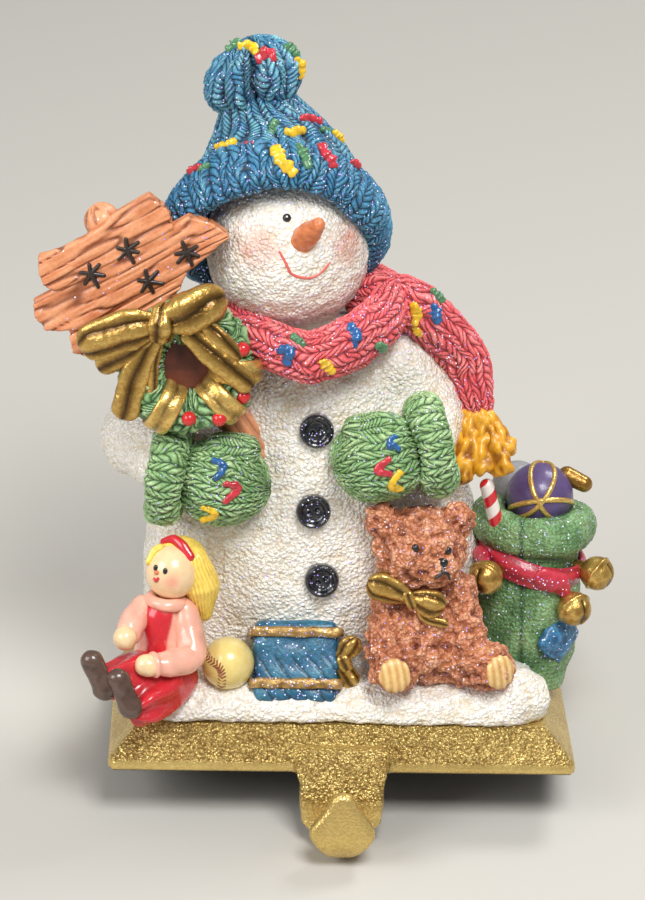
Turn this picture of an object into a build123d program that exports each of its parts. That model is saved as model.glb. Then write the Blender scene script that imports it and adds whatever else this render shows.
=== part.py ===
import math
import os
from build123d import *

# Iron plate
plate_width = 120.0
plate_depth = 75.0
rim_height = 2.6
bevel_rise = 7.9
bevel_inset = 7.5
plate_corner = 2.5
plate_top = rim_height + bevel_rise
plate_front = -plate_depth / 2
bevel_angle = math.degrees(math.atan2(bevel_inset, bevel_rise))

# Hook, cast in one with the plate
hook_root_width = 23.6
hook_stem_width = 21.2
hook_bend_width = 18.0
hook_tip_width = 6.4
hook_thickness = 5.0
hook_tip_thickness = 4.0
hook_throat = 8.5
hook_drop = 18.4
hook_tip_rise = 1.8
hook_stand_off = 1.0
hook_back = plate_front - hook_stand_off
hook_front = hook_back - hook_thickness
hook_tip_back = hook_front - hook_throat
hook_tip_front = hook_tip_back - hook_tip_thickness
hook_middle = hook_front - hook_throat / 2
bend_radius = (hook_back - hook_tip_front) / 2
bend_height = bend_radius - hook_drop

# Screws from below
screw_diameter = 5.0
screw_head_diameter = 10.0
screw_head_height = 2.5
screw_sink = 0.6
screw_spacing = 56.0
screw_setback = 6.0
screw_bite = 14.0
screw_slot_width = 1.2
screw_slot_depth = 1.3
screw_clearance = 0.25
bore_end_gap = 0.8
screw_places = [(-screw_spacing / 2, screw_setback), (screw_spacing / 2, screw_setback)]

# Snow ground, with a drift at its right front corner
ground_half_width = 52.5
ground_half_depth = 31.0
ground_height = 10.0
ground_lip = 3.6
ground_corner = 10.0
ground_inset = 6.0
ground_top = plate_top + ground_height
drift_radius = 9.0
drift_lift = 6.0
drift_setback = 8.0

# Snowman's body, leaning back a little to the left
body_half_width = 45.0
body_half_depth = 24.0
body_height = 100.0
body_foot = Vector(-6.0, 8.0, plate_top)
body_neck_shift = -4.0
body_steps = [
    (0.06, 1.0, 0.97), (0.30, 1.0, 1.0), (0.50, 0.93, 0.98),
    (0.68, 0.80, 0.92), (0.85, 0.62, 0.80), (0.98, 0.40, 0.62)]
bulge_radius = 15.0
bulge_height = 22.0
arm_radius = 11.0
wrist_radius = 8.0

# Head and hat
head_radius = 20.8
head_half_height = 22.5
head_sink = 3.0
head_shift = Vector(-5.5, -8.0, 0)
nose_radius = 3.0
nose_length = 9.5
hat_lean = 50.0
brim_shift = Vector(-3.0, 0, 6.0)
brim_height = 13.6
brim_thickness = 8.4
brim_overlap = 0.4
brim_strands = 24
brim_strand_slant = 40.0
brim_strand_half_length = 7.6
brim_relief = 1.2
dome_ribs = 11
dome_rib_depth = 1.5
dome_swell = 2.9
dome_side_swell = 2.2
dome_levels = [(0.0, 0.98), (0.20, 0.93), (0.45, 0.74), (0.75, 0.52), (1.0, 0.34)]
pompom_half_width = 12.5
pompom_half_height = 9.2
pompom_lobes = 8
pompom_dip = 0.12
pompom_shift = Vector(-6.4, 4.5, 37.0)
pompom_levels = [(-0.96, 0.3), (-0.75, 0.68), (-0.3, 0.97), (0.2, 0.98), (0.7, 0.7), (0.95, 0.28)]

# Scarf: heights of its ring at even turns from the front by the right, then its tail and fringe
scarf_radius = 22.0
scarf_shift = Vector(0.5, -5.5, 1.0)
scarf_rises = [-6.5, -1.8, 3.4, 1.8, 2.4, 3.2, 3.0, 1.8, -0.4, -2.2]
scarf_halves = [6.0, 7.2, 7.0, 6.2, 6.0, 5.9, 6.0, 5.9, 6.0, 6.1]
chain_step = 0.15
tail_halves = [6.4, 6.2, 5.9, 5.5, 5.2, 4.2]
fringe_radius = 2.2
fringe_spread_radius = 3.5
fringe_length = 14.5
fringe_spreads = [-28, -16, -4, 8, 20]

# Mittens and buttons
mitten_radius = 11.2
mitten_half_length = 1.2
cuff_radius = 9.6
cuff_half_thickness = 4.0
cuff_half_height = 4.6
cuff_setback = 13.6
thumb_radius = 4.6
thumb_length = 6.0
button_radius = 4.4
button_height = 2.6
button_dish = 2.6
button_heights = [34.0, 52.5, 73.5]

# Plank sign, its post, the wreath and its bow
sign_angle = 30.0
sign_thickness = 4.5
sign_step = 0.5
post_radius = 4.5
wreath_radius = 12.0
wreath_tube = 5.0
tuft_radius = 5.9
tuft_half_length = 1.6
wreath_tufts = 13
bow_loop_radius = 6.8
bow_tail_radius = 3.6
bow_knot_radius = 3.6
ribbon_width = 5.0
ribbon_stand = 1.0
ribbon_turns = [-45.0, -3.0, -118.0]

# Doll
doll_head_radius = 6.9
doll_hair_radius = 7.5
doll_waist_radius = 8.0
doll_chest_radius = 5.4
doll_limb = 3.4
doll_hand_radius = 3.2
doll_skirt_radius = 7.4
doll_shoe_radius = 2.7
doll_shoe_half_length = 6.0

# Ball and wrapped gift
ball_radius = 6.8
gift_length = 22.0
gift_height = 21.0
gift_depth = 13.0
gift_lean = 24.0
gift_round = 2.0
gift_band_width = 2.6
gift_band_stand = 0.7
gift_band_places = [0.36, -0.27]
gift_bow_radius = 2.7

# Bear
bear_head_radius = 11.2
bear_muzzle_radius = 4.8
bear_ear_radius = 4.4
bear_body_radius = 12.6
bear_chest_radius = 9.4
bear_leg_radius = 6.6
bear_foot_radius = 6.2
bear_pad_radius = 4.0
bear_pad_height = 3.7
bear_arm_radius = 5.0
bear_tie_radius = 3.3

# Filled sack
sack_radius = 14.2
sack_height = 40.0
collar_radius = 15.8
collar_half_height = 5.2
collar_half_thickness = 4.2
collar_lift = 3.0
belt_height = 5.0
belt_stand = 0.9
belt_share = 0.86
patch_radius = 5.4
bell_radius = 4.5
bell_stalk_radius = 2.4
bauble_radius = 8.6
silver_ball_radius = 6.8
cap_radius = 2.4
cane_radius = 1.9


def turning_plane(origin, direction):
    """Plane through origin whose own Y runs along direction; half profiles on it are turned about that line.

    Its own X points to the back of the figure, so the seams of turned faces lie there.
    """
    axis = Vector(direction).normalized()
    behind = Vector(0.35, 1.0, 0.2) if abs(axis.Y) < 0.8 else Vector(0.3, 0.1, 1.0)
    across = (behind - axis * axis.dot(behind)).normalized()
    return Plane(origin=origin, x_dir=across, z_dir=across.cross(axis))


def ball(centre, radius):
    """Ball at centre: a limb hardly longer than it is wide, which keeps its seam at the back."""
    stretch = Vector(0.1, 0.25, 1.0).normalized() * (0.05 * radius)
    limb(Vector(centre) - stretch, Vector(centre) + stretch, radius, 0.995 * radius)


def limb(start, end, start_radius, end_radius):
    """Round-ended taper from start to end."""
    run = Vector(end) - Vector(start)
    slope = math.degrees(math.asin((start_radius - end_radius) / run.length))
    with BuildSketch(turning_plane(start, run)) as half:
        with BuildLine():
            low = CenterArc((0, 0), start_radius, -90, 90 + slope)
            high = CenterArc((0, run.length), end_radius, slope, 90 - slope)
            Line(low @ 1, high @ 0)
            Line(high @ 1, low @ 0)
        make_face()
    revolve(half.sketch, axis=Axis(start, run))


def ring(centre, direction, radius, half_thickness, half_height):
    """Ring of round-ended flat section turned about direction."""
    with BuildSketch(turning_plane(centre, direction)) as section:
        with Locations((radius, 0)):
            if half_height > half_thickness:
                SlotOverall(2 * half_height, 2 * half_thickness, rotation=90)
            else:
                Circle(half_thickness)
    revolve(section.sketch, axis=Axis(centre, direction))


def ribs(plane, radius, count, rib_radius, half_length, slant):
    """Round-ended ribs side by side round a circle, each leaning by slant degrees along it."""
    half_run = half_length - rib_radius
    for step in range(count):
        turn = 2 * math.pi * step / count
        out = plane.x_dir * math.cos(turn) + plane.y_dir * math.sin(turn)
        along = plane.y_dir * math.cos(turn) - plane.x_dir * math.sin(turn)
        lean = plane.z_dir * math.cos(math.radians(slant)) + along * math.sin(math.radians(slant))
        spot = plane.origin + out * radius
        limb(spot - lean * half_run, spot + lean * half_run, rib_radius, rib_radius)


def disc(centre, direction, radius, height):
    """Plain round block that stands on centre along direction."""
    with BuildSketch(Plane(origin=centre, z_dir=direction)) as section:
        Circle(radius)
    extrude(section.sketch, amount=height)


def lobed_face(plane, radius, lobes, dip):
    """Closed outline with even lobes, one section of a loft."""
    points = []
    for step in range(2 * lobes):
        turn = math.pi * step / lobes
        reach = radius - dip * (step % 2)
        points.append((reach * math.cos(turn), reach * math.sin(turn)))
    with BuildSketch(plane) as outline:
        with BuildLine():
            Spline(*points, periodic=True)
        make_face()
    return outline.sketch


def body_at(height):
    """Centre, half width and half depth of the body at a height above the plate, read between its steps."""
    share = min(max(height / body_height, body_steps[0][0]), body_steps[-1][0])
    for low, high in zip(body_steps, body_steps[1:]):
        if low[0] <= share <= high[0]:
            part = (share - low[0]) / (high[0] - low[0])
            wide = body_half_width * (low[1] + part * (high[1] - low[1]))
            deep = body_half_depth * (low[2] + part * (high[2] - low[2]))
    centre = body_foot + Vector(body_neck_shift * share, 0, share * body_height)
    return centre, wide, deep


def body_front(x, height):
    """Point on the front of the body at a width and a height above the plate."""
    centre, wide, deep = body_at(height)
    across = (x - centre.X) / wide
    return Vector(x, centre.Y - deep * math.sqrt(1 - across * across), plate_top + height)


# Plate with its hook
with BuildPart() as hook_base:
    with BuildSketch():
        RectangleRounded(plate_width, plate_depth, plate_corner)
    extrude(amount=rim_height)
    with BuildSketch(Plane.XY.offset(rim_height)):
        RectangleRounded(plate_width, plate_depth, plate_corner)
    extrude(amount=bevel_rise, taper=bevel_angle)

with BuildPart() as hook:
    with BuildSketch(Plane.YZ):
        with BuildLine():
            root = Line((hook_back + bevel_inset, rim_height / 2), (hook_back, rim_height / 2))
            stem = Line(root @ 1, (hook_back, bend_height))
            outer = ThreePointArc(
                stem @ 1, (hook_back - bend_radius, -hook_drop), (hook_tip_front, bend_height))
            rise = Line(outer @ 1, (hook_tip_front, hook_tip_rise - hook_tip_thickness / 2))
            tip = ThreePointArc(
                rise @ 1,
                (hook_tip_front + hook_tip_thickness / 2, hook_tip_rise),
                (hook_tip_back, hook_tip_rise - hook_tip_thickness / 2))
            fall = Line(tip @ 1, (hook_tip_back, bend_height))
            inner = ThreePointArc(
                fall @ 1, (hook_middle, bend_height - hook_throat / 2), (hook_front, bend_height))
            face = Line(inner @ 1, (hook_front, -rim_height / 2))
            shoulder = ThreePointArc(
                face @ 1,
                (hook_front + hook_thickness / 3, rim_height),
                (hook_back + bevel_inset / 3, rim_height + bevel_rise / 2))
            Polyline(shoulder @ 1, (hook_back + bevel_inset, rim_height + bevel_rise / 2), root @ 0)
        make_face()
    extrude(amount=hook_root_width / 2, both=True)

# The hook's outline from the front: broad behind, and narrowing to the tip in front
bend_side = hook_bend_width / 2
tip_side = hook_tip_width / 2
tip_level = hook_tip_rise - tip_side
with BuildPart() as hook_outline:
    with BuildSketch(Plane(origin=(0, hook_middle, 0), x_dir=(1, 0, 0), z_dir=(0, 1, 0))):
        with BuildLine():
            for side in (1, -1):
                Polyline(
                    (side * bend_side, hook_drop - bend_side),
                    (side * hook_stem_width / 2, rim_height),
                    (side * hook_root_width / 2, -rim_height),
                    (side * hook_root_width / 2, -plate_top))
            ThreePointArc(
                (bend_side, hook_drop - bend_side), (0, hook_drop), (-bend_side, hook_drop - bend_side))
            Line((hook_root_width / 2, -plate_top), (-hook_root_width / 2, -plate_top))
        make_face()
    extrude(amount=plate_depth)
    with BuildSketch(Plane(origin=(0, hook_middle, 0), x_dir=(1, 0, 0), z_dir=(0, -1, 0))):
        with BuildLine():
            for side in (1, -1):
                Line((side * bend_side, bend_side - hook_drop), (side * tip_side, tip_level))
            ThreePointArc(
                (bend_side, bend_side - hook_drop), (0, -hook_drop), (-bend_side, bend_side - hook_drop))
            ThreePointArc((tip_side, tip_level), (0, hook_tip_rise), (-tip_side, tip_level))
        make_face()
    extrude(amount=plate_depth)

with hook:
    add(hook_outline.part, mode=Mode.INTERSECT)

with hook_base:
    add(hook.part)
    for place in screw_places:
        with BuildSketch(turning_plane((place[0], place[1], 0), (0, 0, 1))):
            with BuildLine():
                wide = screw_head_diameter / 2 + screw_clearance
                narrow = screw_diameter / 2 + screw_clearance
                flare = screw_sink + screw_head_height
                Polyline(
                    (0, 0), (wide, 0), (wide, screw_sink), (narrow, flare),
                    (narrow, plate_top), (0, plate_top), close=True)
            make_face()
        revolve(axis=Axis((place[0], place[1], 0), (0, 0, 1)), mode=Mode.SUBTRACT)

# Snow ground
with BuildPart() as ground:
    with BuildSketch(Plane.XY.offset(plate_top)):
        RectangleRounded(2 * ground_half_width, 2 * ground_half_depth, ground_corner)
    extrude(amount=ground_lip)
    with BuildSketch(Plane.XY.offset(plate_top + ground_lip)):
        RectangleRounded(2 * ground_half_width, 2 * ground_half_depth, ground_corner)
    slope_rise = ground_height - ground_lip
    extrude(amount=slope_rise, taper=math.degrees(math.atan2(ground_inset, slope_rise)))
    drift_front = drift_radius - ground_half_depth
    ball((ground_half_width - drift_setback, drift_front, plate_top + drift_lift), drift_radius)

# Snowman's body and arms
with BuildPart() as body:
    for share, wide, deep in body_steps:
        centre = body_foot + Vector(body_neck_shift * share, 0, share * body_height)
        with BuildSketch(Plane(origin=centre)):
            Ellipse(body_half_width * wide, body_half_depth * deep)
    loft()
    left_bulge = body_foot + Vector(bulge_radius - body_half_width, -2, bulge_height)
    limb(left_bulge, left_bulge + Vector(0, 0, bulge_height), bulge_radius, bulge_radius - 1)

neck = body_foot + Vector(body_neck_shift, 0, body_height)
left_shoulder = neck + Vector(-24, 0, -14)
left_elbow = neck + Vector(-42.5, -1, -35)
left_wrist = neck + Vector(-36, -19, -36)
right_shoulder = neck + Vector(21, -2, -14)
right_elbow = neck + Vector(31, -2, -25)
right_wrist = neck + Vector(30, -20, -30)
with BuildPart() as arms:
    for shoulder, elbow, wrist in (
            (left_shoulder, left_elbow, left_wrist), (right_shoulder, right_elbow, right_wrist)):
        limb(shoulder, elbow, arm_radius + 1, arm_radius)
        limb(elbow, wrist, arm_radius - 0.6, wrist_radius)

# Head, with its carrot nose
head_centre = neck + head_shift + Vector(0, 0, head_half_height - head_sink)
nose_root = head_centre + Vector(0.17 * head_radius, -0.86 * head_radius, 0.3 * head_half_height)
nose_run = Vector(0.42, -0.72, 0.56).normalized()
with BuildPart() as head:
    crown = Vector(0, 0, head_half_height - head_radius)
    limb(head_centre - crown, head_centre + crown, head_radius + 0.1, head_radius)
    limb(nose_root, nose_root + nose_run * nose_length, nose_radius, nose_radius * 0.5)

# Knitted hat: rolled brim with slanted strands, ribbed dome and pompom
hat_axis = Vector(0, math.sin(math.radians(hat_lean)), math.cos(math.radians(hat_lean)))
hat_side = Vector(1, 0, 0)
brim_centre = head_centre + brim_shift
brim_radius = head_radius + brim_thickness / 2 - brim_overlap
pompom_centre = brim_centre + pompom_shift
pompom_axis = Vector(-0.12, 0.05, 1.0).normalized()
dome_top = pompom_centre - pompom_axis * (0.5 * pompom_half_height)
with BuildPart() as hat:
    core_half = brim_thickness / 2 - brim_relief
    ring(brim_centre, hat_axis, brim_radius, core_half, brim_height / 2 - brim_relief)
    brim_plane = Plane(origin=brim_centre, x_dir=hat_side, z_dir=hat_axis)
    strand_radius = brim_thickness / 2 - 0.2
    ribs(brim_plane, brim_radius, brim_strands, strand_radius, brim_strand_half_length, brim_strand_slant)
    levels = []
    for share, reach in dome_levels:
        level = brim_centre + (dome_top - brim_centre) * share
        level += (hat_axis * dome_swell + hat_side * dome_side_swell) * math.sin(math.pi * share)
        facing = (hat_axis * (1 - share) + pompom_axis * share).normalized()
        plane = Plane(origin=level, x_dir=hat_side, z_dir=facing)
        levels.append(lobed_face(plane, reach * brim_radius, dome_ribs, reach * dome_rib_depth))
    loft(levels)

with BuildPart() as pompom:
    levels = []
    for height, reach in pompom_levels:
        level = pompom_centre + pompom_axis * (height * pompom_half_height)
        plane = Plane(origin=level, x_dir=hat_side, z_dir=pompom_axis)
        reach_radius = reach * pompom_half_width
        levels.append(lobed_face(plane, reach_radius, pompom_lobes, pompom_dip * reach_radius))
    loft(levels)

# Scarf: wound once round the neck, tail over the right shoulder, fringe
scarf_centre = neck + scarf_shift
scarf_points = []
for step, rise in enumerate(scarf_rises):
    turn = 2 * math.pi * step / len(scarf_rises)
    round_neck = Vector(scarf_radius * math.sin(turn), -scarf_radius * math.cos(turn), rise)
    scarf_points.append(scarf_centre + round_neck)
tail_points = [
    scarf_centre + Vector(14.5, -0.5, 4.0), scarf_centre + Vector(19.5, -2.5, 4.6),
    scarf_centre + Vector(25.9, -2.5, 2.8), scarf_centre + Vector(35.1, -0.5, -6.0),
    scarf_centre + Vector(40.8, 0.5, -14.1), scarf_centre + Vector(43.0, -1.0, -23.5)]
with BuildPart() as scarf:
    for step, start in enumerate(scarf_points):
        after = (step + 1) % len(scarf_points)
        limb(start, scarf_points[after], scarf_halves[step] - chain_step, scarf_halves[after])
    for start, end, wide, narrow in zip(tail_points, tail_points[1:], tail_halves, tail_halves[1:]):
        limb(start, end, wide - chain_step, narrow)
    for spread in fringe_spreads:
        turn = math.radians(spread)
        tip = tail_points[-1] + Vector(math.sin(turn), -0.4, -math.cos(turn)) * fringe_length
        limb(tail_points[-1], tip, fringe_radius, fringe_spread_radius + 0.01 * spread)

# Mittens, each a hand, a thumb and a turned-back cuff
left_hand = left_wrist + Vector(14.2, -5, -3.1)
left_run = Vector(1.0, -0.12, -0.12).normalized()
right_hand = right_wrist + Vector(-11.5, -4, -2.4)
right_run = Vector(-1.0, -0.15, -0.22).normalized()
with BuildPart() as mittens:
    for hand, run in ((left_hand, left_run), (right_hand, right_run)):
        reach = run * mitten_half_length
        limb(hand - reach, hand + reach, mitten_radius, mitten_radius - 0.5)
        cuff = hand - run * cuff_setback
        disc(cuff - run * (cuff_half_thickness - 0.5), run, cuff_radius, cuff_setback)
        ring(cuff, run, cuff_radius, cuff_half_thickness, cuff_half_height)
        thumb = hand + Vector(0, -2, mitten_radius - thumb_radius + 1.6)
        limb(thumb, thumb + run * thumb_length + Vector(0, 0, 1), thumb_radius, thumb_radius - 0.6)

# Buttons: three dished discs down the front
with BuildPart() as buttons:
    for height in button_heights:
        seat = body_front(body_foot.X - 1, height)
        facing = Vector(0, -1, 0.06).normalized()
        disc(seat - facing * (button_height / 2), facing, button_radius, button_height)
        rim_radius = (button_radius + button_dish) / 2
        rim_half = (button_radius - button_dish) / 2
        ring(seat + facing * (button_height / 2), facing, rim_radius, rim_half, rim_half)

# Plank sign on its post
sign_centre = neck + Vector(-44.0, -25.0, 14.5)
sign_turn = math.radians(sign_angle)
sign_along = Vector(math.cos(sign_turn), 0, math.sin(sign_turn))
sign_up = Vector(-math.sin(sign_turn), 0, math.cos(sign_turn))
planks = [
    [(-18, 17), (-6, 15.8), (4, 17.4), (14, 17.6), (16, 13), (15, 7.4), (-18, 7.4), (-20.5, 9), (-20, 14)],
    [(-25, 7.6), (14, 7.9), (20, 8.0), (24, 4.0), (26, -1.2), (14.5, -4.2), (-19.5, -4.0), (-26, -0.5),
     (-26.5, 4.5)],
    [(-21, -3.7), (12.5, -3.7), (8.5, -7.5), (4, -11.5), (-16, -11.0), (-20.5, -12), (-23, -8.5)],
]
post_top = sign_centre + Vector(-8.5, 4.5, 14.0)
post_foot = sign_centre + Vector(30.5, 7.5, -47.0)
with BuildPart() as sign:
    for number, outline in enumerate(planks):
        back = sign_centre + Vector(0, sign_thickness / 2, 0)
        with BuildSketch(Plane(origin=back, x_dir=sign_along, z_dir=(0, -1, 0))):
            Polygon(*outline, align=None)
        extrude(amount=sign_thickness - sign_step * number)
    limb(post_top, post_foot, post_radius, post_radius)

# Leafy wreath with its ribbon windings and bow
wreath_centre = sign_centre + Vector(13.5, -3.0, -21.5)
wreath_axis = Vector(0.06, -1, 0.10).normalized()
wreath_plane = Plane(origin=wreath_centre, x_dir=(1, 0, 0), z_dir=wreath_axis)
with BuildPart() as wreath:
    ring(wreath_centre, wreath_axis, wreath_radius, wreath_tube, wreath_tube)
    for step in range(wreath_tufts):
        turn = 2 * math.pi * step / wreath_tufts
        across = wreath_plane.x_dir * math.cos(turn) + wreath_plane.y_dir * math.sin(turn)
        along = wreath_plane.y_dir * math.cos(turn) - wreath_plane.x_dir * math.sin(turn)
        spot = wreath_centre + across * wreath_radius
        limb(spot - along * tuft_half_length, spot + along * tuft_half_length, tuft_radius - 0.9, tuft_radius)
    for turn in ribbon_turns:
        angle = math.radians(turn)
        across = wreath_plane.x_dir * math.cos(angle) + wreath_plane.y_dir * math.sin(angle)
        along = wreath_plane.y_dir * math.cos(angle) - wreath_plane.x_dir * math.sin(angle)
        spot = wreath_centre + across * wreath_radius
        disc(spot - along * (ribbon_width / 2), along, tuft_radius + ribbon_stand, ribbon_width)

knot = wreath_centre + Vector(-6.5, -6.5, 13.0)
left_loop = knot + Vector(-13.5, 1.0, -4.5)
right_loop = knot + Vector(10.5, 2.5, 3.5)
left_tail = knot + Vector(-8.0, 1.5, -22.0)
middle_tail = knot + Vector(-3.0, 1.5, -15.0)
right_tail_root = knot + Vector(7.5, 0.5, -3.0)
right_tail = knot + Vector(18.5, 1.5, -13.0)
with BuildPart() as bow:
    limb(knot - sign_up, knot + sign_up, bow_knot_radius, bow_knot_radius - 0.1)
    limb(knot, left_loop, bow_knot_radius - 0.8, bow_loop_radius)
    limb(knot, right_loop, bow_knot_radius - 0.6, bow_loop_radius - 0.8)
    limb(knot, left_tail, bow_tail_radius - 1.0, bow_tail_radius)
    limb(knot, middle_tail, bow_tail_radius - 1.2, bow_tail_radius - 0.3)
    limb(right_tail_root, right_tail, bow_tail_radius - 1.1, bow_tail_radius - 0.6)

# Doll seated at the left corner
doll_seat = Vector(-46.0, -25.0, ground_top + 1.5)
doll_chest = doll_seat + Vector(-0.5, 0, 15.5)
doll_head = doll_seat + Vector(2.0, 0.5, 27.8)
doll_left_hand = doll_seat + Vector(-9.4, -8.6, 13.1)
doll_right_elbow = doll_seat + Vector(7.0, -6.5, 7.5)
doll_right_hand = doll_seat + Vector(-3.8, -13.0, 7.2)
doll_left_knee = doll_seat + Vector(-12.5, -13.0, 3.0)
doll_right_knee = doll_seat + Vector(-4.5, -11.5, -3.0)
with BuildPart() as doll:
    ball(doll_head, doll_head_radius)
    ball(doll_head + Vector(1.6, 2.4, 0.9), doll_hair_radius)
    limb(doll_head + Vector(5.6, 2.6, 0.5), doll_head + Vector(8.0, 2.8, -11.5), 4.6, 2.6)
    limb(doll_seat + Vector(0, 1, 4), doll_chest, doll_waist_radius, doll_chest_radius)
    limb(doll_chest + Vector(-4, 0, 2.5), doll_left_hand, doll_limb, doll_limb - 0.4)
    ball(doll_left_hand + Vector(-0.4, -0.7, 0.1), doll_hand_radius)
    limb(doll_chest + Vector(5, -1, 2.0), doll_right_elbow, doll_limb + 0.4, doll_limb + 0.2)
    limb(doll_right_elbow, doll_right_hand + Vector(2.3, 1, 0), doll_limb - 0.2, doll_limb - 0.7)
    ball(doll_right_hand, doll_hand_radius - 0.1)
    limb(doll_seat, doll_left_knee, doll_skirt_radius, 4.2)
    limb(doll_seat + Vector(2, -2, 0), doll_right_knee, doll_skirt_radius - 0.4, 6.2)
    for place in (Vector(-16.2, -15.5, 5.5), Vector(-9.6, -17.0, 1.2)):
        toe = Vector(-0.42, 0.1, 0.9) * (doll_shoe_half_length - doll_shoe_radius)
        limb(doll_seat + place - toe, doll_seat + place + toe, doll_shoe_radius, doll_shoe_radius - 0.2)

# Ball and wrapped gift
ball_centre = Vector(-29.5, -24.0, ground_top + 4.2)
gift_centre = Vector(-12.0, -19.5, ground_top + 2.8)
gift_up = Vector(0, math.sin(math.radians(gift_lean)), math.cos(math.radians(gift_lean)))
gift_tilt = Plane(origin=gift_centre, x_dir=(1, 0, 0), z_dir=gift_up)
with BuildPart() as parcels:
    ball(ball_centre, ball_radius)
    gift_end = gift_tilt.from_local_coords((-gift_length / 2, 0, 0))
    with BuildSketch(Plane(origin=gift_end, x_dir=gift_tilt.y_dir, z_dir=(1, 0, 0))):
        RectangleRounded(gift_depth, gift_height, gift_round)
    extrude(amount=gift_length)
    for share in gift_band_places:
        band = gift_tilt.from_local_coords((0, -0.3 * gift_band_width, share * gift_height))
        band_depth = gift_depth - 0.6 * gift_band_width + 2 * gift_band_stand
        with BuildSketch(Plane(origin=band, x_dir=(1, 0, 0), z_dir=gift_up)):
            RectangleRounded(gift_length + 2 * gift_band_stand, band_depth, gift_round - gift_band_stand)
        extrude(amount=gift_band_width / 2, both=True)
    bow_spot = gift_tilt.from_local_coords((gift_length / 2, -0.34 * gift_depth, 0.02 * gift_height))
    for lift in (4.2, -4.2):
        limb(bow_spot, bow_spot + Vector(3.0, -0.5, lift), gift_bow_radius - 0.6, gift_bow_radius)
    ball(bow_spot + Vector(1.6, -0.8, 0), gift_bow_radius - 0.5)

# Bear seated against the body
bear_seat = Vector(21.0, -18.0, ground_top + 1.0)
bear_head = bear_seat + Vector(-1.5, -2.5, 34.0)
bear_chest = bear_seat + Vector(0, 0.5, 18.5)
bear_left_hand = bear_seat + Vector(-11, -9.5, 9)
bear_right_hand = bear_seat + Vector(11.5, -9.0, 8)
bear_left_foot = bear_seat + Vector(-8.0, -12.0, 4.5)
bear_right_foot = bear_seat + Vector(16.5, -9.5, 4.5)
bear_tie = bear_chest + Vector(-4.2, -10.0, 4.4)
with BuildPart() as bear:
    ball(bear_head, bear_head_radius)
    ball(bear_head + Vector(5.0, -8.2, -2.6), bear_muzzle_radius)
    for side in (-1, 1):
        ball(bear_head + Vector(side * 9.4 - 0.4, 1.0, 7.3), bear_ear_radius)
    limb(bear_seat + Vector(0, 1, 8), bear_chest, bear_body_radius, bear_chest_radius)
    limb(bear_chest + Vector(-8, 0, 3), bear_left_hand, bear_arm_radius, bear_arm_radius - 0.4)
    limb(bear_chest + Vector(8, 0, 3), bear_right_hand, bear_arm_radius + 0.2, bear_arm_radius)
    limb(bear_seat + Vector(-5, -2, 6.5), bear_left_foot, bear_leg_radius - 0.2, bear_foot_radius)
    limb(bear_seat + Vector(6, -2, 5), bear_right_foot, bear_leg_radius + 0.4, bear_foot_radius + 0.2)
    disc(bear_left_foot + Vector(0, -3.0, 0.1), (0, -1, 0.1), bear_pad_radius, bear_pad_height)
    disc(bear_right_foot + Vector(1.7, -2.5, 0.1), (0.55, -1, 0.1), bear_pad_radius, bear_pad_height)
    for side in (-1, 1):
        loop = bear_tie + Vector(side * 6.0, -0.4, -1.8 * side)
        limb(bear_tie, loop, bear_tie_radius / 2, bear_tie_radius)

# Sack with its folded collar, belt, patch, bells and load
sack_foot = Vector(47.0, 6.0, plate_top + 0.5)
sack_axis = Vector(0.07, -0.03, 1.0).normalized()
sack_mouth = sack_foot + sack_axis * (sack_height + collar_lift)
belt_axis = Vector(0.28, -0.12, 1).normalized()
belt_centre = sack_foot + sack_axis * (belt_share * sack_height)
patch_foot = sack_foot + Vector(9.4, -9.4, 11.5)
with BuildPart() as sack:
    with BuildSketch(turning_plane(sack_foot, sack_axis)):
        with BuildLine():
            side = ThreePointArc(
                (0.88 * sack_radius, 0), (sack_radius, 0.42 * sack_height), (0.84 * sack_radius, sack_height))
            Polyline(side @ 1, (0, sack_height), (0, 0), side @ 0)
        make_face()
    revolve(axis=Axis(sack_foot, sack_axis))
    collar_middle = collar_radius - collar_half_thickness
    ring(sack_mouth, sack_axis, collar_middle, collar_half_thickness, collar_half_height)
    disc(sack_mouth - sack_axis * (collar_lift + 1), sack_axis, collar_middle, collar_lift + 1.5)
    disc(belt_centre - belt_axis * (belt_height / 2), belt_axis, 0.93 * sack_radius + belt_stand, belt_height)
    limb(patch_foot, patch_foot + Vector(0.4, 0, patch_radius), patch_radius - 0.4, patch_radius)

bauble_centre = sack_mouth + Vector(1.3, -0.7, 7.8)
cane_top = sack_mouth + Vector(-13.2, -10.0, 13.5)
bell_places = [Vector(-12.5, -16.0, -1.0), Vector(11.0, -13.0, -10.5), Vector(17.1, -7.0, -2.8)]
with BuildPart() as load:
    ball(bauble_centre, bauble_radius)
    limb(bauble_centre + Vector(7, 2, 5), bauble_centre + Vector(11.5, 1, 3.0), cap_radius, cap_radius - 0.2)
    ball(sack_mouth + Vector(-4.0, 9.0, 7.0), silver_ball_radius)
    limb(cane_top, cane_top + Vector(4.0, 1.5, -15.0), cane_radius, cane_radius)
    crook = cane_top + Vector(2.2, 0.8, -8.5)
    limb(crook, crook + Vector(6.8, 3.7, -1.0), cane_radius - 0.2, cane_radius - 0.3)
    for place in bell_places:
        spot = belt_centre + place
        ball(spot, bell_radius)
        limb(spot, spot - place * 0.45, bell_stalk_radius, bell_stalk_radius - 0.4)

# All of these forms are one casting, flat below and bored for the screws
with BuildPart() as figurine:
    for form in (
            body, ground, arms, head, hat, pompom, scarf, mittens, buttons,
            sign, wreath, bow, doll, parcels, bear, sack, load):
        add(form.part)
    split(bisect_by=Plane.XY.offset(plate_top), keep=Keep.TOP)
    for place in screw_places:
        with BuildSketch(Plane(origin=(place[0], place[1], plate_top))):
            Circle(screw_diameter / 2)
        extrude(amount=screw_bite + bore_end_gap, mode=Mode.SUBTRACT)

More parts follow.
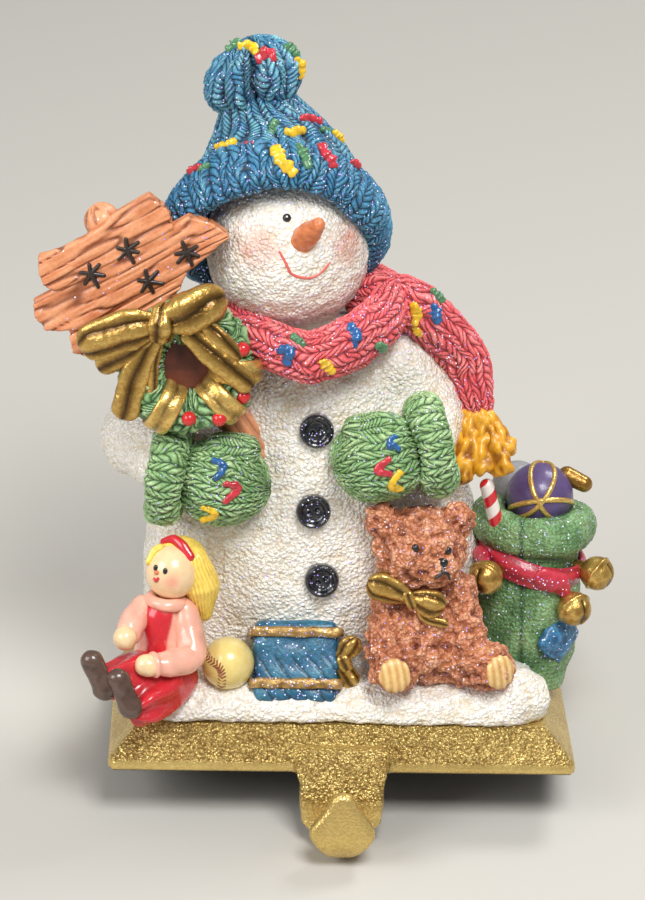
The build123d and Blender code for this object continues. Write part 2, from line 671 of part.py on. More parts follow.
# Screws
with BuildPart() as fixing_screws:
    for place in screw_places:
        with BuildSketch(turning_plane((place[0], place[1], screw_sink), (0, 0, 1))):
            with BuildLine():
                shank_top = plate_top - screw_sink + screw_bite
                Polyline(
                    (0, 0), (screw_head_diameter / 2, 0), (screw_diameter / 2, screw_head_height),
                    (screw_diameter / 2, shank_top - screw_diameter / 2), (0, shank_top), close=True)
            make_face()
        revolve(axis=Axis((place[0], place[1], 0), (0, 0, 1)))
        with BuildSketch(Plane(origin=(place[0], place[1], screw_sink))):
            Rectangle(2 * screw_head_diameter, screw_slot_width)
        extrude(amount=screw_slot_depth, mode=Mode.SUBTRACT)

os.makedirs("parts", exist_ok=True)
for node, name in ((hook_base, "hook_base"), (figurine, "figurine"), (fixing_screws, "fixing_screws")):
    node.part.label = name
    export_step(node.part, "parts/" + name + ".step")
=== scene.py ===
import math

import bmesh
import bpy
import numpy as np
from mathutils import Matrix


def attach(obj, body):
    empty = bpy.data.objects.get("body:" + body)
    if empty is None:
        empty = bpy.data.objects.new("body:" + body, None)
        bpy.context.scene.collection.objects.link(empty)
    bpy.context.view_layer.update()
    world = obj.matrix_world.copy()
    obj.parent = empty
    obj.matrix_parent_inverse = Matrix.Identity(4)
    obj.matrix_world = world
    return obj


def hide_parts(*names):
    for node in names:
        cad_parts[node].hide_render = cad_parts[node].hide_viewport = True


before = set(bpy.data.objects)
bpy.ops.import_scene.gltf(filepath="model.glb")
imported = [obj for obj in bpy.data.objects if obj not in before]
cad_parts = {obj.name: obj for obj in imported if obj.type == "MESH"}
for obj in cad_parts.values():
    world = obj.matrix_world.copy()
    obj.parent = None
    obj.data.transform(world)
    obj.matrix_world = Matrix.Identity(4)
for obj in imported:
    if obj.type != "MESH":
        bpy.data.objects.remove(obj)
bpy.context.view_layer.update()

# View
# The object is seen from the front and a little above, through a long lens. The hand-painted marks are placed
# by where they are seen, so the view comes first. All sizes are in millimetres until a mesh is made.
mm = 0.001
image_width = 645
image_height = 900
focal_pixels = 4262.0
sensor_height = 36.0
camera_place = np.array((-28.4, -1045.9, 424.6))
camera_pitch = math.radians(18.491)
camera_turn = math.radians(1.240)
camera_roll = math.radians(-1.138)

view_ahead = np.array((
    math.sin(camera_turn) * math.cos(camera_pitch),
    math.cos(camera_turn) * math.cos(camera_pitch),
    -math.sin(camera_pitch)))
level_right = np.array((math.cos(camera_turn), -math.sin(camera_turn), 0.0))
level_down = np.cross(view_ahead, level_right)
view_right = math.cos(camera_roll) * level_right + math.sin(camera_roll) * level_down
view_down = math.cos(camera_roll) * level_down - math.sin(camera_roll) * level_right

lens = bpy.data.cameras.new("camera")
lens.sensor_fit = "VERTICAL"
lens.sensor_height = sensor_height
lens.lens = focal_pixels * sensor_height / image_height
camera = bpy.data.objects.new("camera", lens)
camera_axes = np.stack([view_right, -view_down, -view_ahead, camera_place * mm], 1)
camera.matrix_world = Matrix(camera_axes.tolist() + [[0.0, 0.0, 0.0, 1.0]])
bpy.context.scene.collection.objects.link(camera)
bpy.context.scene.camera = camera
bpy.context.scene.view_settings.view_transform = "Standard"


def pixel_of(points):
    """Where points are seen: their way right and down from the view line over their way ahead, times the
    focal length. The third number is the way ahead."""
    away = points - camera_place
    depth = away @ view_ahead
    across = image_width / 2 + focal_pixels * (away @ view_right) / depth
    below = image_height / 2 + focal_pixels * (away @ view_down) / depth
    return np.stack([across, below, depth], -1)


def seen_at(points, pixel, reach=2.0):
    """The point of a grid that is nearest to the camera among those seen within reach of a pixel."""
    seen = pixel_of(points).reshape(-1, 3)
    off = np.hypot(seen[:, 0] - pixel[0], seen[:, 1] - pixel[1])
    hidden = np.where(off < off.min() + reach, 0.0, 1e6)
    return points.reshape(-1, 3)[np.argmin(seen[:, 2] + hidden)]


# Iron base
# One casting of a bevelled plate and the J hook that hangs over the shelf's edge, painted gold. The front
# bevel and the hook have the sand grain of the mould, with a painted highlight on its grains and painted
# shade between them, and the underside is painted near black.
base_voxel = 0.95
base_grain_depth = 0.22
base_gold_light = (240, 212, 134)
base_gold_deep = (166, 130, 66)
base_underside_dark = (44, 40, 36)
hook_line = -38.2
hook_tongue_line = -51.0
hook_levels = (-18.4, -16.5, -14.0, -11.0, -8.0, -5.0, -2.0)
hook_stem_widths = (0.60, 0.74, 0.98, 1.16, 1.14, 1.08, 1.0)
hook_tongue_widths = (0.60, 0.68, 0.78, 0.90, 1.0, 1.0, 1.0)
hook_stem_line = -44.5
hook_grain_foot = -9.0
smooth_share = 0.12
flake_cells = 2100.0
flake_lilac = (150, 120, 235)
flake_white = (236, 246, 255)


def tone(colour):
    """A colour as seen on a screen, 0 to 255, as linear light."""
    share = np.asarray(colour, float) / 255
    return np.where(share <= 0.04045, share / 12.92, ((share + 0.055) / 1.055) ** 2.4)


def blend(low, high, share):
    """Goes from one colour to another as share goes from 0 to 1."""
    share = np.clip(share, 0, 1)[..., None]
    return low * (1 - share) + high * share


def shades(low, high, share):
    """Goes from one screen colour to another as share goes from 0 to 1."""
    return blend(tone(low), tone(high), share)


lattice = np.random.default_rng(7).uniform(-1, 1, (48, 48, 48))


def grain(points, size, shift=0):
    """Smooth noise from -1 to 1: random values on a cubic lattice of the given spacing, eased between the
    eight corners round each point."""
    place = points / size + 17.3 + shift
    corner = np.floor(place).astype(int)
    ease = place - corner
    ease = ease * ease * (3 - 2 * ease)
    total = np.zeros(points.shape[:-1])
    for dx in (0, 1):
        for dy in (0, 1):
            for dz in (0, 1):
                step = np.array((dx, dy, dz))
                weight = np.prod(np.where(step, ease, 1 - ease), axis=-1)
                spot = (corner + step) % 48
                total += weight * lattice[spot[..., 0], spot[..., 1], spot[..., 2]]
    return total


jitter = np.random.default_rng(11).uniform(0.1, 0.9, (48, 48, 48, 3))


def cobbles(points, size, shift=0):
    """Rounded cobbles, 1 on their crowns and 0 in the cracks: each cube of the given size holds one random
    site, and the height falls with the squared distance to the nearest site."""
    place = points / size + 19.6 + shift
    corner = np.floor(place).astype(int)
    nearest = np.full(points.shape[:-1], 9.0)
    for step in np.ndindex(3, 3, 3):
        cube = corner + np.array(step) - 1
        spot = cube % 48
        site = cube + jitter[spot[..., 0], spot[..., 1], spot[..., 2]]
        nearest = np.minimum(nearest, ((place - site) ** 2).sum(-1))
    return np.clip(1 - 1.5 * nearest, 0, 1)


class Wire:
    """An output socket of a material's nodes. Sums, products and comparisons of wires add Math nodes."""

    def __init__(self, tree, socket=None):
        self.tree = tree
        self.socket = socket

    def node(self, kind, settings, inputs, out=0):
        """Adds a node, sets its settings and the values or links of its sockets, and returns one output."""
        made = self.tree.nodes.new(kind)
        for key, value in settings.items():
            setattr(made, key, value)
        for key, value in inputs.items():
            if isinstance(value, Wire):
                self.tree.links.new(value.socket, made.inputs[key])
            else:
                made.inputs[key].default_value = value
        return Wire(self.tree, made.outputs[out] if made.outputs else None)

    def math(self, operation, first, second):
        return self.node("ShaderNodeMath", {"operation": operation}, {0: first, 1: second})

    def __add__(self, other):
        return self.math("ADD", self, other)

    def __radd__(self, other):
        return self.math("ADD", other, self)

    def __sub__(self, other):
        return self.math("SUBTRACT", self, other)

    def __rsub__(self, other):
        return self.math("SUBTRACT", other, self)

    def __mul__(self, other):
        return self.math("MULTIPLY", self, other)

    def __rmul__(self, other):
        return self.math("MULTIPLY", other, self)

    def __gt__(self, other):
        return self.math("GREATER_THAN", self, other)

    def __lt__(self, other):
        return self.math("LESS_THAN", self, other)

    def eased(self, low, high):
        """0 below low, 1 above high, and a smooth step between."""
        return self.node(
            "ShaderNodeMapRange", {"interpolation_type": "SMOOTHSTEP"},
            {"Value": self, "From Min": low, "From Max": high})

    def mixed(self, first, second):
        """The first colour where this wire is 0 and the second where it is 1."""
        return self.node("ShaderNodeMix", {"data_type": "RGBA"}, {0: self, 6: first, 7: second}, 2)


def rgba(colour):
    return tuple(tone(colour)) + (1.0,)


def paint_finish(
        name, roughness, pit_size, pit_depth, pit_shade, flecks=0.0, metal=0.0, coat=0.0, strands=None,
        pebbled=False, pit_shade_tint=(0.7, 1.0, 1.35)):
    """Brushed paint over a casting. The colour is the piece's own paint attribute, made darker and browner in
    the fine pits by pit_shade as painted shade; the pits are noise of pit_size millimetres pressed in by
    pit_depth where the paint's alpha is 1. On a pebbled piece the pits are the cracks between small crinkled
    pebbles of pit_size. The pit_shade_tint is how much of that painted shade takes red, green and blue away.
    Flecks is the share of half-millimetre cells that hold a flake of glitter, which is smooth and lilac or
    white, and glows a little by emission as a painted sparkle. Strands are the slant, depth and least light
    of knitted strands, which follow the piece's weave attribute: stitches along a wale and wales across;
    painted shade darkens their hollows down to the least light, and a painted highlight lifts their crowns."""
    finish = bpy.data.materials.new(name)
    finish.use_nodes = True
    tree = finish.node_tree
    tree.nodes.clear()
    start = Wire(tree)
    place = start.node("ShaderNodeTexCoord", {}, {}, "Object")
    paint = start.node("ShaderNodeAttribute", {"attribute_name": "paint"}, {}, "Color")
    pitted = Wire(tree, paint.socket.node.outputs["Alpha"])
    pit_cells = {"Vector": place, "Scale": 1 / (pit_size * mm)}
    if pebbled:
        swirl = start.node("ShaderNodeTexNoise", {}, pit_cells, "Color")
        swing = (1.1 * pit_size * mm,) * 3
        pit_cells["Vector"] = start.node(
            "ShaderNodeVectorMath", {"operation": "MULTIPLY_ADD"}, {0: swirl, 1: swing, 2: place})
        pits = 1 - start.node("ShaderNodeTexVoronoi", {}, pit_cells, "Distance")
    else:
        pits = start.node("ShaderNodeTexNoise", {}, pit_cells | {"Detail": 2.0, "Roughness": 0.6})
    cloud = start.node("ShaderNodeTexNoise", {}, {"Vector": place, "Scale": 140.0, "Detail": 2.0})
    cloud = cloud * 0.24 + 0.88
    level = pits.eased(0.38, 0.57)
    height = pits * pitted * pit_depth
    if strands:
        slant, depth, least = strands
        weave = start.node("ShaderNodeAttribute", {"attribute_name": "weave"}, {}, "Vector")
        along = start.node("ShaderNodeSeparateXYZ", {}, {0: weave})
        across = Wire(tree, along.socket.node.outputs[1])
        middle = start.math("ABSOLUTE", start.math("FRACT", across, 0.0) - 0.5, 0.0)
        step = start.math("FRACT", along + middle * slant, 0.0)
        leg = middle * 4 - 1
        ply = start.math("SQRT", step * (1 - step) * 4 * (1 - leg * leg), 0.0)
        # Painted shade darkens the hollows between the strands down to least, and a painted highlight lifts
        # their crowns.
        cloud = cloud * (ply.eased(0.1, 0.8) * (1.13 - least) + least)
        height = height + ply * depth
    # Painted shade: the colour is made darker and browner in the low pits.
    mottle_and_pit_shade = (1 - level) * pitted * pit_shade
    shade = start.node(
        "ShaderNodeCombineColor", {}, {channel: cloud * (1 - mottle_and_pit_shade * pit_shade_tint[channel]) for channel in range(3)})
    colour = start.node(
        "ShaderNodeMix", {"data_type": "RGBA", "blend_type": "MULTIPLY"}, {0: 1.0, 6: paint, 7: shade}, 2)
    rough = roughness + (1 - level) * 0.12
    bump = start.node("ShaderNodeBump", {}, {"Strength": 0.9, "Distance": mm, "Height": height})
    sockets = {"Metallic": metal, "Coat Weight": coat, "Coat Roughness": 0.12, "Normal": bump}
    if flecks:
        cells = {"Vector": place, "Scale": flake_cells}
        draw = start.node("ShaderNodeTexVoronoi", {}, cells, "Color")
        chance = start.node("ShaderNodeSeparateColor", {}, {0: draw})
        hue = Wire(tree, chance.socket.node.outputs[1])
        near = start.node("ShaderNodeTexVoronoi", {}, cells, "Distance") < 0.42
        flake = (chance > 1 - flecks) * near
        tint = hue.mixed(rgba(flake_lilac), rgba(flake_white))
        colour = flake.mixed(colour, tint)
        rough = rough * (1 - flake * 0.7)
        # Painted sparkle: the glitter flakes glow a little by emission, though they are no lamp.
        sockets["Emission Color"] = (flake * 0.55).mixed((0.0, 0.0, 0.0, 1.0), tint)
        sockets["Emission Strength"] = 1.0
    sockets["Base Color"] = colour
    sockets["Roughness"] = rough
    shader = start.node("ShaderNodeBsdfPrincipled", {}, sockets)
    start.node("ShaderNodeOutputMaterial", {}, {"Surface": shader})
    return finish


def new_piece(name, mesh):
    piece = bpy.data.objects.new(name, mesh)
    bpy.context.scene.collection.objects.link(piece)
    return piece


def remelt(name, piece, voxel, smoothing):
    """Makes one closed skin of a piece's overlapping skins on a grid of the given spacing, and evens it."""
    melt = piece.modifiers.new("melt", "REMESH")
    melt.mode = "VOXEL"
    melt.voxel_size = voxel * mm
    even = piece.modifiers.new("even", "SMOOTH")
    even.iterations = smoothing
    shown = piece.evaluated_get(bpy.context.evaluated_depsgraph_get())
    mesh = bpy.data.meshes.new_from_object(shown)
    bpy.data.objects.remove(piece)
    mesh.name = name
    return new_piece(name, mesh)


def read_points(mesh):
    """Places and normals of a mesh's points, in millimetres."""
    places = np.empty(3 * len(mesh.vertices))
    mesh.vertices.foreach_get("co", places)
    normals = np.empty(3 * len(mesh.vertices))
    mesh.vertex_normals.foreach_get("vector", normals)
    return places.reshape(-1, 3) / mm, normals.reshape(-1, 3)


def write_points(mesh, places, paint, pitted=1.0, weave=None):
    """Puts places in millimetres and a paint colour for each point into a mesh, with smooth faces. Pitted is
    how far the finish's pits show there, and weave is where a point of a knitted piece lies in its knit."""
    mesh.vertices.foreach_set("co", (places * mm).ravel())
    colours = np.ones((len(places), 4))
    colours[:, :3] = paint
    colours[:, 3] = pitted
    layer = mesh.attributes.new("paint", "FLOAT_COLOR", "POINT")
    layer.data.foreach_set("color", colours.ravel())
    if weave is not None:
        layer = mesh.attributes.new("weave", "FLOAT_VECTOR", "POINT")
        layer.data.foreach_set("vector", weave.ravel())
    mesh.polygons.foreach_set("use_smooth", np.ones(len(mesh.polygons), bool))
    mesh.update()


def belongs(piece, finish, node="figurine"):
    """Gives a piece its finish, attaches it to the root body, and hides the CAD node of the casting that it
    stands in for.
    """
    piece.data.materials.clear()
    piece.data.materials.append(finish)
    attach(piece, "root")
    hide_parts(node)
    return piece


whole = bmesh.new()
whole.from_mesh(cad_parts["hook_base"].data)
bmesh.ops.remove_doubles(whole, verts=whole.verts, dist=0.001 * mm)
cast_mesh = bpy.data.meshes.new("base_casting")
whole.to_mesh(cast_mesh)
whole.free()
base = remelt("base_casting", new_piece("base_solid", cast_mesh), base_voxel, 3)
places, facing = read_points(base.data)
on_hook = places[:, 1] < hook_line
stem = np.clip((places[:, 1] - hook_tongue_line) / (hook_stem_line - hook_tongue_line), 0, 1)
stem_width = np.interp(places[:, 2], hook_levels, hook_stem_widths)
tongue_width = np.interp(places[:, 2], hook_levels, hook_tongue_widths)
places[:, 0] *= np.where(on_hook, stem * stem_width + (1 - stem) * tongue_width, 1)
grainy = np.clip(0.2 - 1.6 * facing[:, 1], 0.2, 1)
hook_grain = np.clip((places[:, 2] - hook_grain_foot) / 5, smooth_share, 1)
plate_grain = np.clip(1.6 * places[:, 2] - 3.6, smooth_share, 1)
grainy *= np.where(on_hook, hook_grain, plate_grain)
grainy = np.where(places[:, 1] < hook_tongue_line, smooth_share, grainy)
slanted = np.stack([0.55 * (places[:, 0] + places[:, 2]), places[:, 1], places[:, 0] - places[:, 2]], -1)
pebbles = grain(slanted, 1.25) + 0.5 * grain(slanted, 0.85, 5)
underside = np.clip((-facing[:, 2] - 0.6) * 6, 0, 1) * ~on_hook
mottle_and_pit_shade = np.clip(0.5 + 0.7 * grain(places, 9.0, 11), 0, 1)
# Painted highlight and shade: the gold is lighter on the raised grains and darker between them.
base_paint = shades(base_gold_deep, base_gold_light, 0.55 + 0.45 * pebbles * grainy + 0.3 * mottle_and_pit_shade)
# The faces that look down, away from the hook, are painted near black.
base_paint = blend(base_paint, tone(base_underside_dark), underside)
relief = base_grain_depth * pebbles * grainy * (1 - underside)
write_points(base.data, places + facing * relief[:, None], base_paint, 0.1 + 0.9 * grainy)
gold_iron = paint_finish(
    "gold_painted_iron", roughness=0.25, pit_size=0.8, pit_depth=0.75, pit_shade=0.55, metal=0.7, pebbled=True,
    pit_shade_tint=(0.92, 1.0, 1.15))
belongs(base, gold_iron, "hook_base")

# Fixing screws
# Two countersunk steel screws, put in from below, hold the resin casting down on the plate.
steel_dark = (120, 120, 122)
steel_bright = (196, 196, 200)
steel = bpy.data.materials.new("screw_steel")
steel.use_nodes = True
steel_start = Wire(steel.node_tree)
steel_place = steel_start.node("ShaderNodeTexCoord", {}, {}, "Object")
brushed = steel_start.node("ShaderNodeTexNoise", {}, {"Vector": steel_place, "Scale": 900.0, "Detail": 3.0})
steel_shader = steel.node_tree.nodes["Principled BSDF"]
steel_shader.inputs["Metallic"].default_value = 1.0
steel_tint = brushed.mixed(rgba(steel_dark), rgba(steel_bright))
steel.node_tree.links.new(steel_tint.socket, steel_shader.inputs["Base Color"])
steel.node_tree.links.new((brushed * 0.25 + 0.22).socket, steel_shader.inputs["Roughness"])
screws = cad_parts["fixing_screws"]
screws.data.materials.clear()
screws.data.materials.append(steel)

# Snow
# Ground, body, arms and head of the snowman are one resin form, stippled all over while the master was wet
# clay, painted cream with beige painted shade in the cracks between its lumps, and dusted with glitter.
plate_top = 10.5
snow_voxel = 1.1
snow_white = (255, 253, 246)
snow_crack_shade = (240, 224, 192)
snow_lump = 2.5
snow_relief = 0.6
cheek_pink = (240, 170, 150)
body_foot = np.array((-6.0, 8.0, plate_top))
body_height = 100.0
body_lean = -4.0
body_shares = (0.0, 0.06, 0.30, 0.50, 0.68, 0.85, 0.98)
body_half_widths = (44.5, 45.0, 45.0, 41.8, 36.0, 27.9, 18.0)
body_half_depths = (23.0, 23.3, 24.0, 23.5, 22.1, 19.2, 14.9)
ground_half_width = 52.5
ground_half_depth = 31.0
ground_corner = 10.0
ground_levels = (10.5, 12.2, 14.0, 16.2, 18.3, 19.8, 20.6, 20.8)
ground_insets = (0.3, 0.0, 0.5, 1.8, 3.8, 6.4, 10.0, 20.0)
drift_centre = (44.5, -22, 15.5)
drift_half = (9.5, 8.5, 8.0)
hip_foot = (-36.5, 6, 32.5)
hip_top = (-36.5, 6, 54.5)
hip_radii = (15, 14)
upper_arm = (12, 11)
lower_arm = (10.4, 8)
head_centre = np.array((-15.5, 0.0, 130.0))
head_half = (20.9, 20.9, 22.5)
left_shoulder = (-34, 8, 96.5)
left_elbow = (-52.5, 7, 75.5)
left_wrist = (-46, -11, 74.5)
right_shoulder = (11, 6, 96.5)
right_elbow = (21, 6, 85.5)
right_wrist = (20, -12, 80.5)
cheek_pixels = ((258, 248), (350, 245))
cheek_spread = 5.0


def unit(vector):
    vector = np.asarray(vector, float)
    return vector / np.linalg.norm(vector, axis=-1, keepdims=True)


def circle_steps(count):
    return 2 * math.pi * np.arange(count) / count


def outline(half_u, half_v, corner, count):
    """A rounded rectangle with quarter circles for corners, walked in even steps."""
    quarter = np.linspace(0, math.pi / 2, 9)
    arcs = []
    for step, (side_u, side_v) in enumerate(((1, 1), (-1, 1), (-1, -1), (1, -1))):
        turn = quarter + step * math.pi / 2
        arcs.append(np.stack([
            side_u * (half_u - corner) + corner * np.cos(turn),
            side_v * (half_v - corner) + corner * np.sin(turn)], -1))
    loop = np.vstack(arcs + [arcs[0][:1]])
    walk = np.concatenate([[0], np.cumsum(np.linalg.norm(np.diff(loop, axis=0), axis=1))])
    even = np.linspace(0, walk[-1], count, endpoint=False)
    return np.stack([np.interp(even, walk, loop[:, 0]), np.interp(even, walk, loop[:, 1])], -1)


def egg(centre, half, rows=40, sides=48, axis=(0, 0, 1), hint=(1, 0, 0)):
    """An ellipsoid: circles of latitude from pole to pole along the axis. Half holds its half widths along
    hint, across hint and along the axis."""
    axis = unit(axis)
    first = unit(np.asarray(hint, float) - axis * np.dot(hint, axis))
    second = np.cross(axis, first)
    polar = np.linspace(0.06, math.pi - 0.06, rows)[:, None, None]
    turn = circle_steps(sides)[None, :, None]
    ring = half[0] * np.cos(turn) * first + half[1] * np.sin(turn) * second
    return np.asarray(centre, float) + np.sin(polar) * ring - half[2] * np.cos(polar) * axis


def curve(points, share):
    """Points along a smooth curve through the given ones: on each span a cubic whose slope at an end is half
    the step between that end's two neighbours."""
    points = np.asarray(points, float)
    spans = len(points) - 1
    place = np.clip(share * spans, 0, spans - 1e-9)
    span = place.astype(int)
    part = (place - span)[:, None]
    wide = np.vstack([2 * points[:1] - points[1:2], points, 2 * points[-1:] - points[-2:-1]])
    a, b, c, d = (wide[span + step] for step in range(4))
    return b + 0.5 * part * (c - a + part * (2 * a - 5 * b + 4 * c - d + part * (3 * (b - c) + d - a)))


def sleeve(path, radii, rows=40, sides=32, flat=1.0, hint=(0, -1, 0)):
    """A round-ended tube: circles carried along a smooth curve through the path's points, as large as the
    radius there, flattened towards hint, and closing on a quarter circle at each end."""
    share = np.linspace(0, 1, rows)
    centre = curve(path, share)
    radius = np.interp(share, np.linspace(0, 1, len(radii)), radii)
    tangent = unit(np.gradient(centre, axis=0))
    bow = np.linspace(1.5, 0, max(rows // 6, 4), endpoint=False)[:, None]
    first = centre[0] - tangent[0] * radius[0] * np.sin(bow)
    last = centre[-1] + tangent[-1] * radius[-1] * np.sin(bow[::-1])
    centre = np.vstack([first, centre, last])
    radius = np.concatenate([radius[0] * np.cos(bow[:, 0]), radius, radius[-1] * np.cos(bow[::-1, 0])])
    ends = len(bow)
    tangent = np.vstack([np.repeat(tangent[:1], ends, 0), tangent, np.repeat(tangent[-1:], ends, 0)])
    side = unit(np.cross(tangent, hint))
    face = np.cross(side, tangent)
    turn = circle_steps(sides)[None, :, None]
    ring = np.cos(turn) * side[:, None] + flat * np.sin(turn) * face[:, None]
    return centre[:, None] + radius[:, None, None] * ring


def outward(points, looped=False):
    """Unit normals of a grid: the cross product of its steps in both directions, turned away from the middle
    of each row."""
    if looped:
        down = np.roll(points, -1, 0) - np.roll(points, 1, 0)
    else:
        down = np.gradient(points, axis=0)
    along = np.roll(points, -1, 1) - np.roll(points, 1, 1)
    normal = np.cross(down, along)
    normal /= np.linalg.norm(normal, axis=-1, keepdims=True) + 1e-9
    away = points - points.mean(1, keepdims=True)
    return normal if (normal * away).sum() > 0 else -normal


def raised(points, height, looped=False):
    """Moves each point of a grid out along its normal by its height."""
    return points + outward(points, looped) * height[..., None]


def cast(name, *skins):
    """Makes one mesh of closed skins. A skin is a grid of points, its paint, and whether its first direction
    closes on itself as its second always does; if not, a fan to the middle of each end row shuts it. A
    knitted skin also has its weave. Corners run the other way where a skin's signed volume is negative, so
    that its faces point outwards."""
    places, paints, weaves, quads, fans = [], [], [], [], []
    start = 0
    for points, paint, looped, *weave in skins:
        rows, sides = points.shape[:2]
        spot = np.arange(rows * sides).reshape(rows, sides)
        here = spot if looped else spot[:-1]
        ahead = np.roll(spot, -1, 0) if looped else spot[1:]
        quad = np.stack([here, np.roll(here, -1, 1), np.roll(ahead, -1, 1), ahead], -1).reshape(-1, 4)
        flat = points.reshape(-1, 3)
        colour = np.broadcast_to(paint, points.shape)
        tints = colour.reshape(-1, 3)
        fan = np.empty((0, 3), int)
        if not looped:
            flat = np.vstack([flat, points[0].mean(0), points[-1].mean(0)])
            tints = np.vstack([tints, colour[0].mean(0), colour[-1].mean(0)])
            weave = [np.vstack([knots.reshape(-1, 3), knots[0, 0], knots[-1, 0]]) for knots in weave]
            tips = np.full(sides, rows * sides)
            fan = np.vstack([
                np.stack([np.roll(spot[0], -1), spot[0], tips], -1),
                np.stack([spot[-1], np.roll(spot[-1], -1), tips + 1], -1)])
        corners = np.vstack([quad[:, :3], quad[:, [0, 2, 3]], fan])
        a, b, c = (flat[corners[:, step]] - flat.mean(0) for step in range(3))
        if (a * np.cross(b, c)).sum() < 0:
            quad = quad[:, ::-1]
            fan = fan[:, ::-1]
        places.append(flat)
        paints.append(tints)
        weaves.extend(knots.reshape(-1, 3) for knots in weave)
        quads.append(quad + start)
        fans.append(fan + start)
        start += len(flat)
    quads = np.vstack(quads)
    fans = np.vstack(fans)
    mesh = bpy.data.meshes.new(name)
    mesh.vertices.add(start)
    mesh.loops.add(quads.size + fans.size)
    mesh.loops.foreach_set("vertex_index", np.concatenate([quads.ravel(), fans.ravel()]))
    mesh.polygons.add(len(quads) + len(fans))
    loop_starts = np.concatenate([4 * np.arange(len(quads)), 4 * len(quads) + 3 * np.arange(len(fans))])
    mesh.polygons.foreach_set("loop_start", loop_starts)
    mesh.update(calc_edges=True)
    write_points(mesh, np.vstack(places), np.vstack(paints), weave=np.vstack(weaves) if weaves else None)
    return new_piece(name, mesh)


def ground_skin():
    """Rounded rectangles stacked from the lip to the flat top, each drawn in by its level's inset, with an
    uneven edge."""
    levels = []
    for height, inset in zip(ground_levels, ground_insets):
        loop = outline(ground_half_width - inset, ground_half_depth - inset, ground_corner, 300)
        edge = np.column_stack([loop, np.full(len(loop), height)])
        sway = 0.9 * grain(edge * (1, 1, 0.4), 8.0, 3)
        edge[:, :2] *= (1 + sway / 45)[:, None]
        levels.append(edge)
    return np.array(levels)


def body_skin():
    """Ellipses stacked from foot to neck, their half widths read between the body's steps."""
    share = np.linspace(0, 1.0, 120)
    wide = np.interp(share, body_shares, body_half_widths)
    deep = np.interp(share, body_shares, body_half_depths)
    turn = circle_steps(160)
    x = body_foot[0] + body_lean * share[:, None] + wide[:, None] * np.cos(turn)
    y = body_foot[1] + deep[:, None] * np.sin(turn)
    z = body_foot[2] + body_height * share[:, None] + 0 * turn
    return np.stack([x, y, z], -1)


blank = np.ones(3)
head_skin = egg(head_centre, head_half, 120, 160)
snow_skins = [
    (ground_skin(), blank, False),
    (egg(drift_centre, drift_half), blank, False),
    (body_skin(), blank, False),
    (sleeve([hip_foot, hip_top], hip_radii), blank, False),
    (sleeve([left_shoulder, left_elbow], upper_arm), blank, False),
    (sleeve([left_elbow, left_wrist], lower_arm), blank, False),
    (sleeve([right_shoulder, right_elbow], upper_arm), blank, False),
    (sleeve([right_elbow, right_wrist], lower_arm), blank, False),
    (head_skin, blank, False),
]
snow = remelt("snow", cast("snow_forms", *snow_skins), snow_voxel, 6)
places, facing = read_points(snow.data)
lumps = cobbles(places + 0.5 * grain(places, 3.0, 8)[:, None], snow_lump)
drifts = 0.4 * grain(places, 8.0, 9)
places = places + facing * (snow_relief * (lumps - 0.5) + 0.12 * grain(places, 1.2, 3) + drifts)[:, None]
places[:, 2] = np.maximum(places[:, 2], plate_top)
# Painted shade: beige in the cracks between the lumps and cream on their crowns.
snow_paint = shades(snow_crack_shade, snow_white, 0.45 + 0.9 * lumps + 0.25 * grain(places, 5.0, 2))
for cheek_pixel in cheek_pixels:
    cheek = seen_at(head_skin, cheek_pixel)
    flush = np.exp(-(((places - cheek) ** 2).sum(1)) / cheek_spread ** 2)
    snow_paint = blend(snow_paint, tone(cheek_pink), flush * (0.8 + 0.5 * grain(places, 1.5, 4)))
write_points(snow.data, places, snow_paint)
snow_finish = paint_finish(
    "glittered_snow", roughness=0.32, pit_size=0.95, pit_depth=0.75, pit_shade=0.18, flecks=0.03, coat=0.25,
    pebbled=True)
belongs(snow, snow_finish)

# Face
# A carrot nose modelled on, with painted shade in its creases, a bead eye with a white dot as a painted
# highlight, and a smile drawn with a fine brush.
nose_root = np.array((-12.6, -17.6, 135.6))
nose_tip = np.array((-8.4, -25.4, 142.2))
nose_radii = (3.5, 3.0, 1.75)
nose_orange = (226, 134, 84)
nose_brown = (172, 88, 50)
eye_pixel = (288, 217)
eye_radius = 1.15
glint_radius = 0.3
eye_black = (24, 24, 30)
eye_glint_white = (240, 240, 240)
smile_red = (222, 104, 92)
smile_pixels = ((278, 252), (283, 264), (294, 275), (308, 279), (322, 275), (331, 266))
smile_radius = 0.42
smile_tip = 0.25

nose = sleeve([nose_root, (nose_root + nose_tip) / 2, nose_tip], nose_radii, 50, 40)
nose_creases = 0.18 * grain(nose, 1.4) + 0.12 * grain(nose * (1, 1, 3), 2.0, 4)
# Painted shade: the nose is browner in its creases.
nose_paint = shades(nose_brown, nose_orange, 0.8 + 2.0 * nose_creases)
eye = egg(seen_at(head_skin, eye_pixel), (eye_radius,) * 3, 24, 28)
# Painted highlight: a white glint on the eye.
glint = egg(seen_at(eye, (eye_pixel[0] - 2, eye_pixel[1] - 2)), (glint_radius,) * 3, 10, 12)
smile_path = [seen_at(head_skin, pixel) for pixel in smile_pixels]
smile = sleeve(smile_path, (smile_tip, smile_radius, smile_radius, smile_tip), 60, 12)
satin = paint_finish(
    "satin_paint", roughness=0.34, pit_size=1.3, pit_depth=0.12, pit_shade=0.14, coat=0.25)
belongs(cast("nose", (raised(nose, nose_creases), nose_paint, False)), satin)
gloss = paint_finish(
    "gloss_paint", roughness=0.2, pit_size=1.6, pit_depth=0.08, pit_shade=0.08, coat=0.5)
belongs(cast("eye", (eye, tone(eye_black), False), (glint, tone(eye_glint_white), False)), gloss)
belongs(cast("smile", (smile, tone(smile_red), False)), satin)

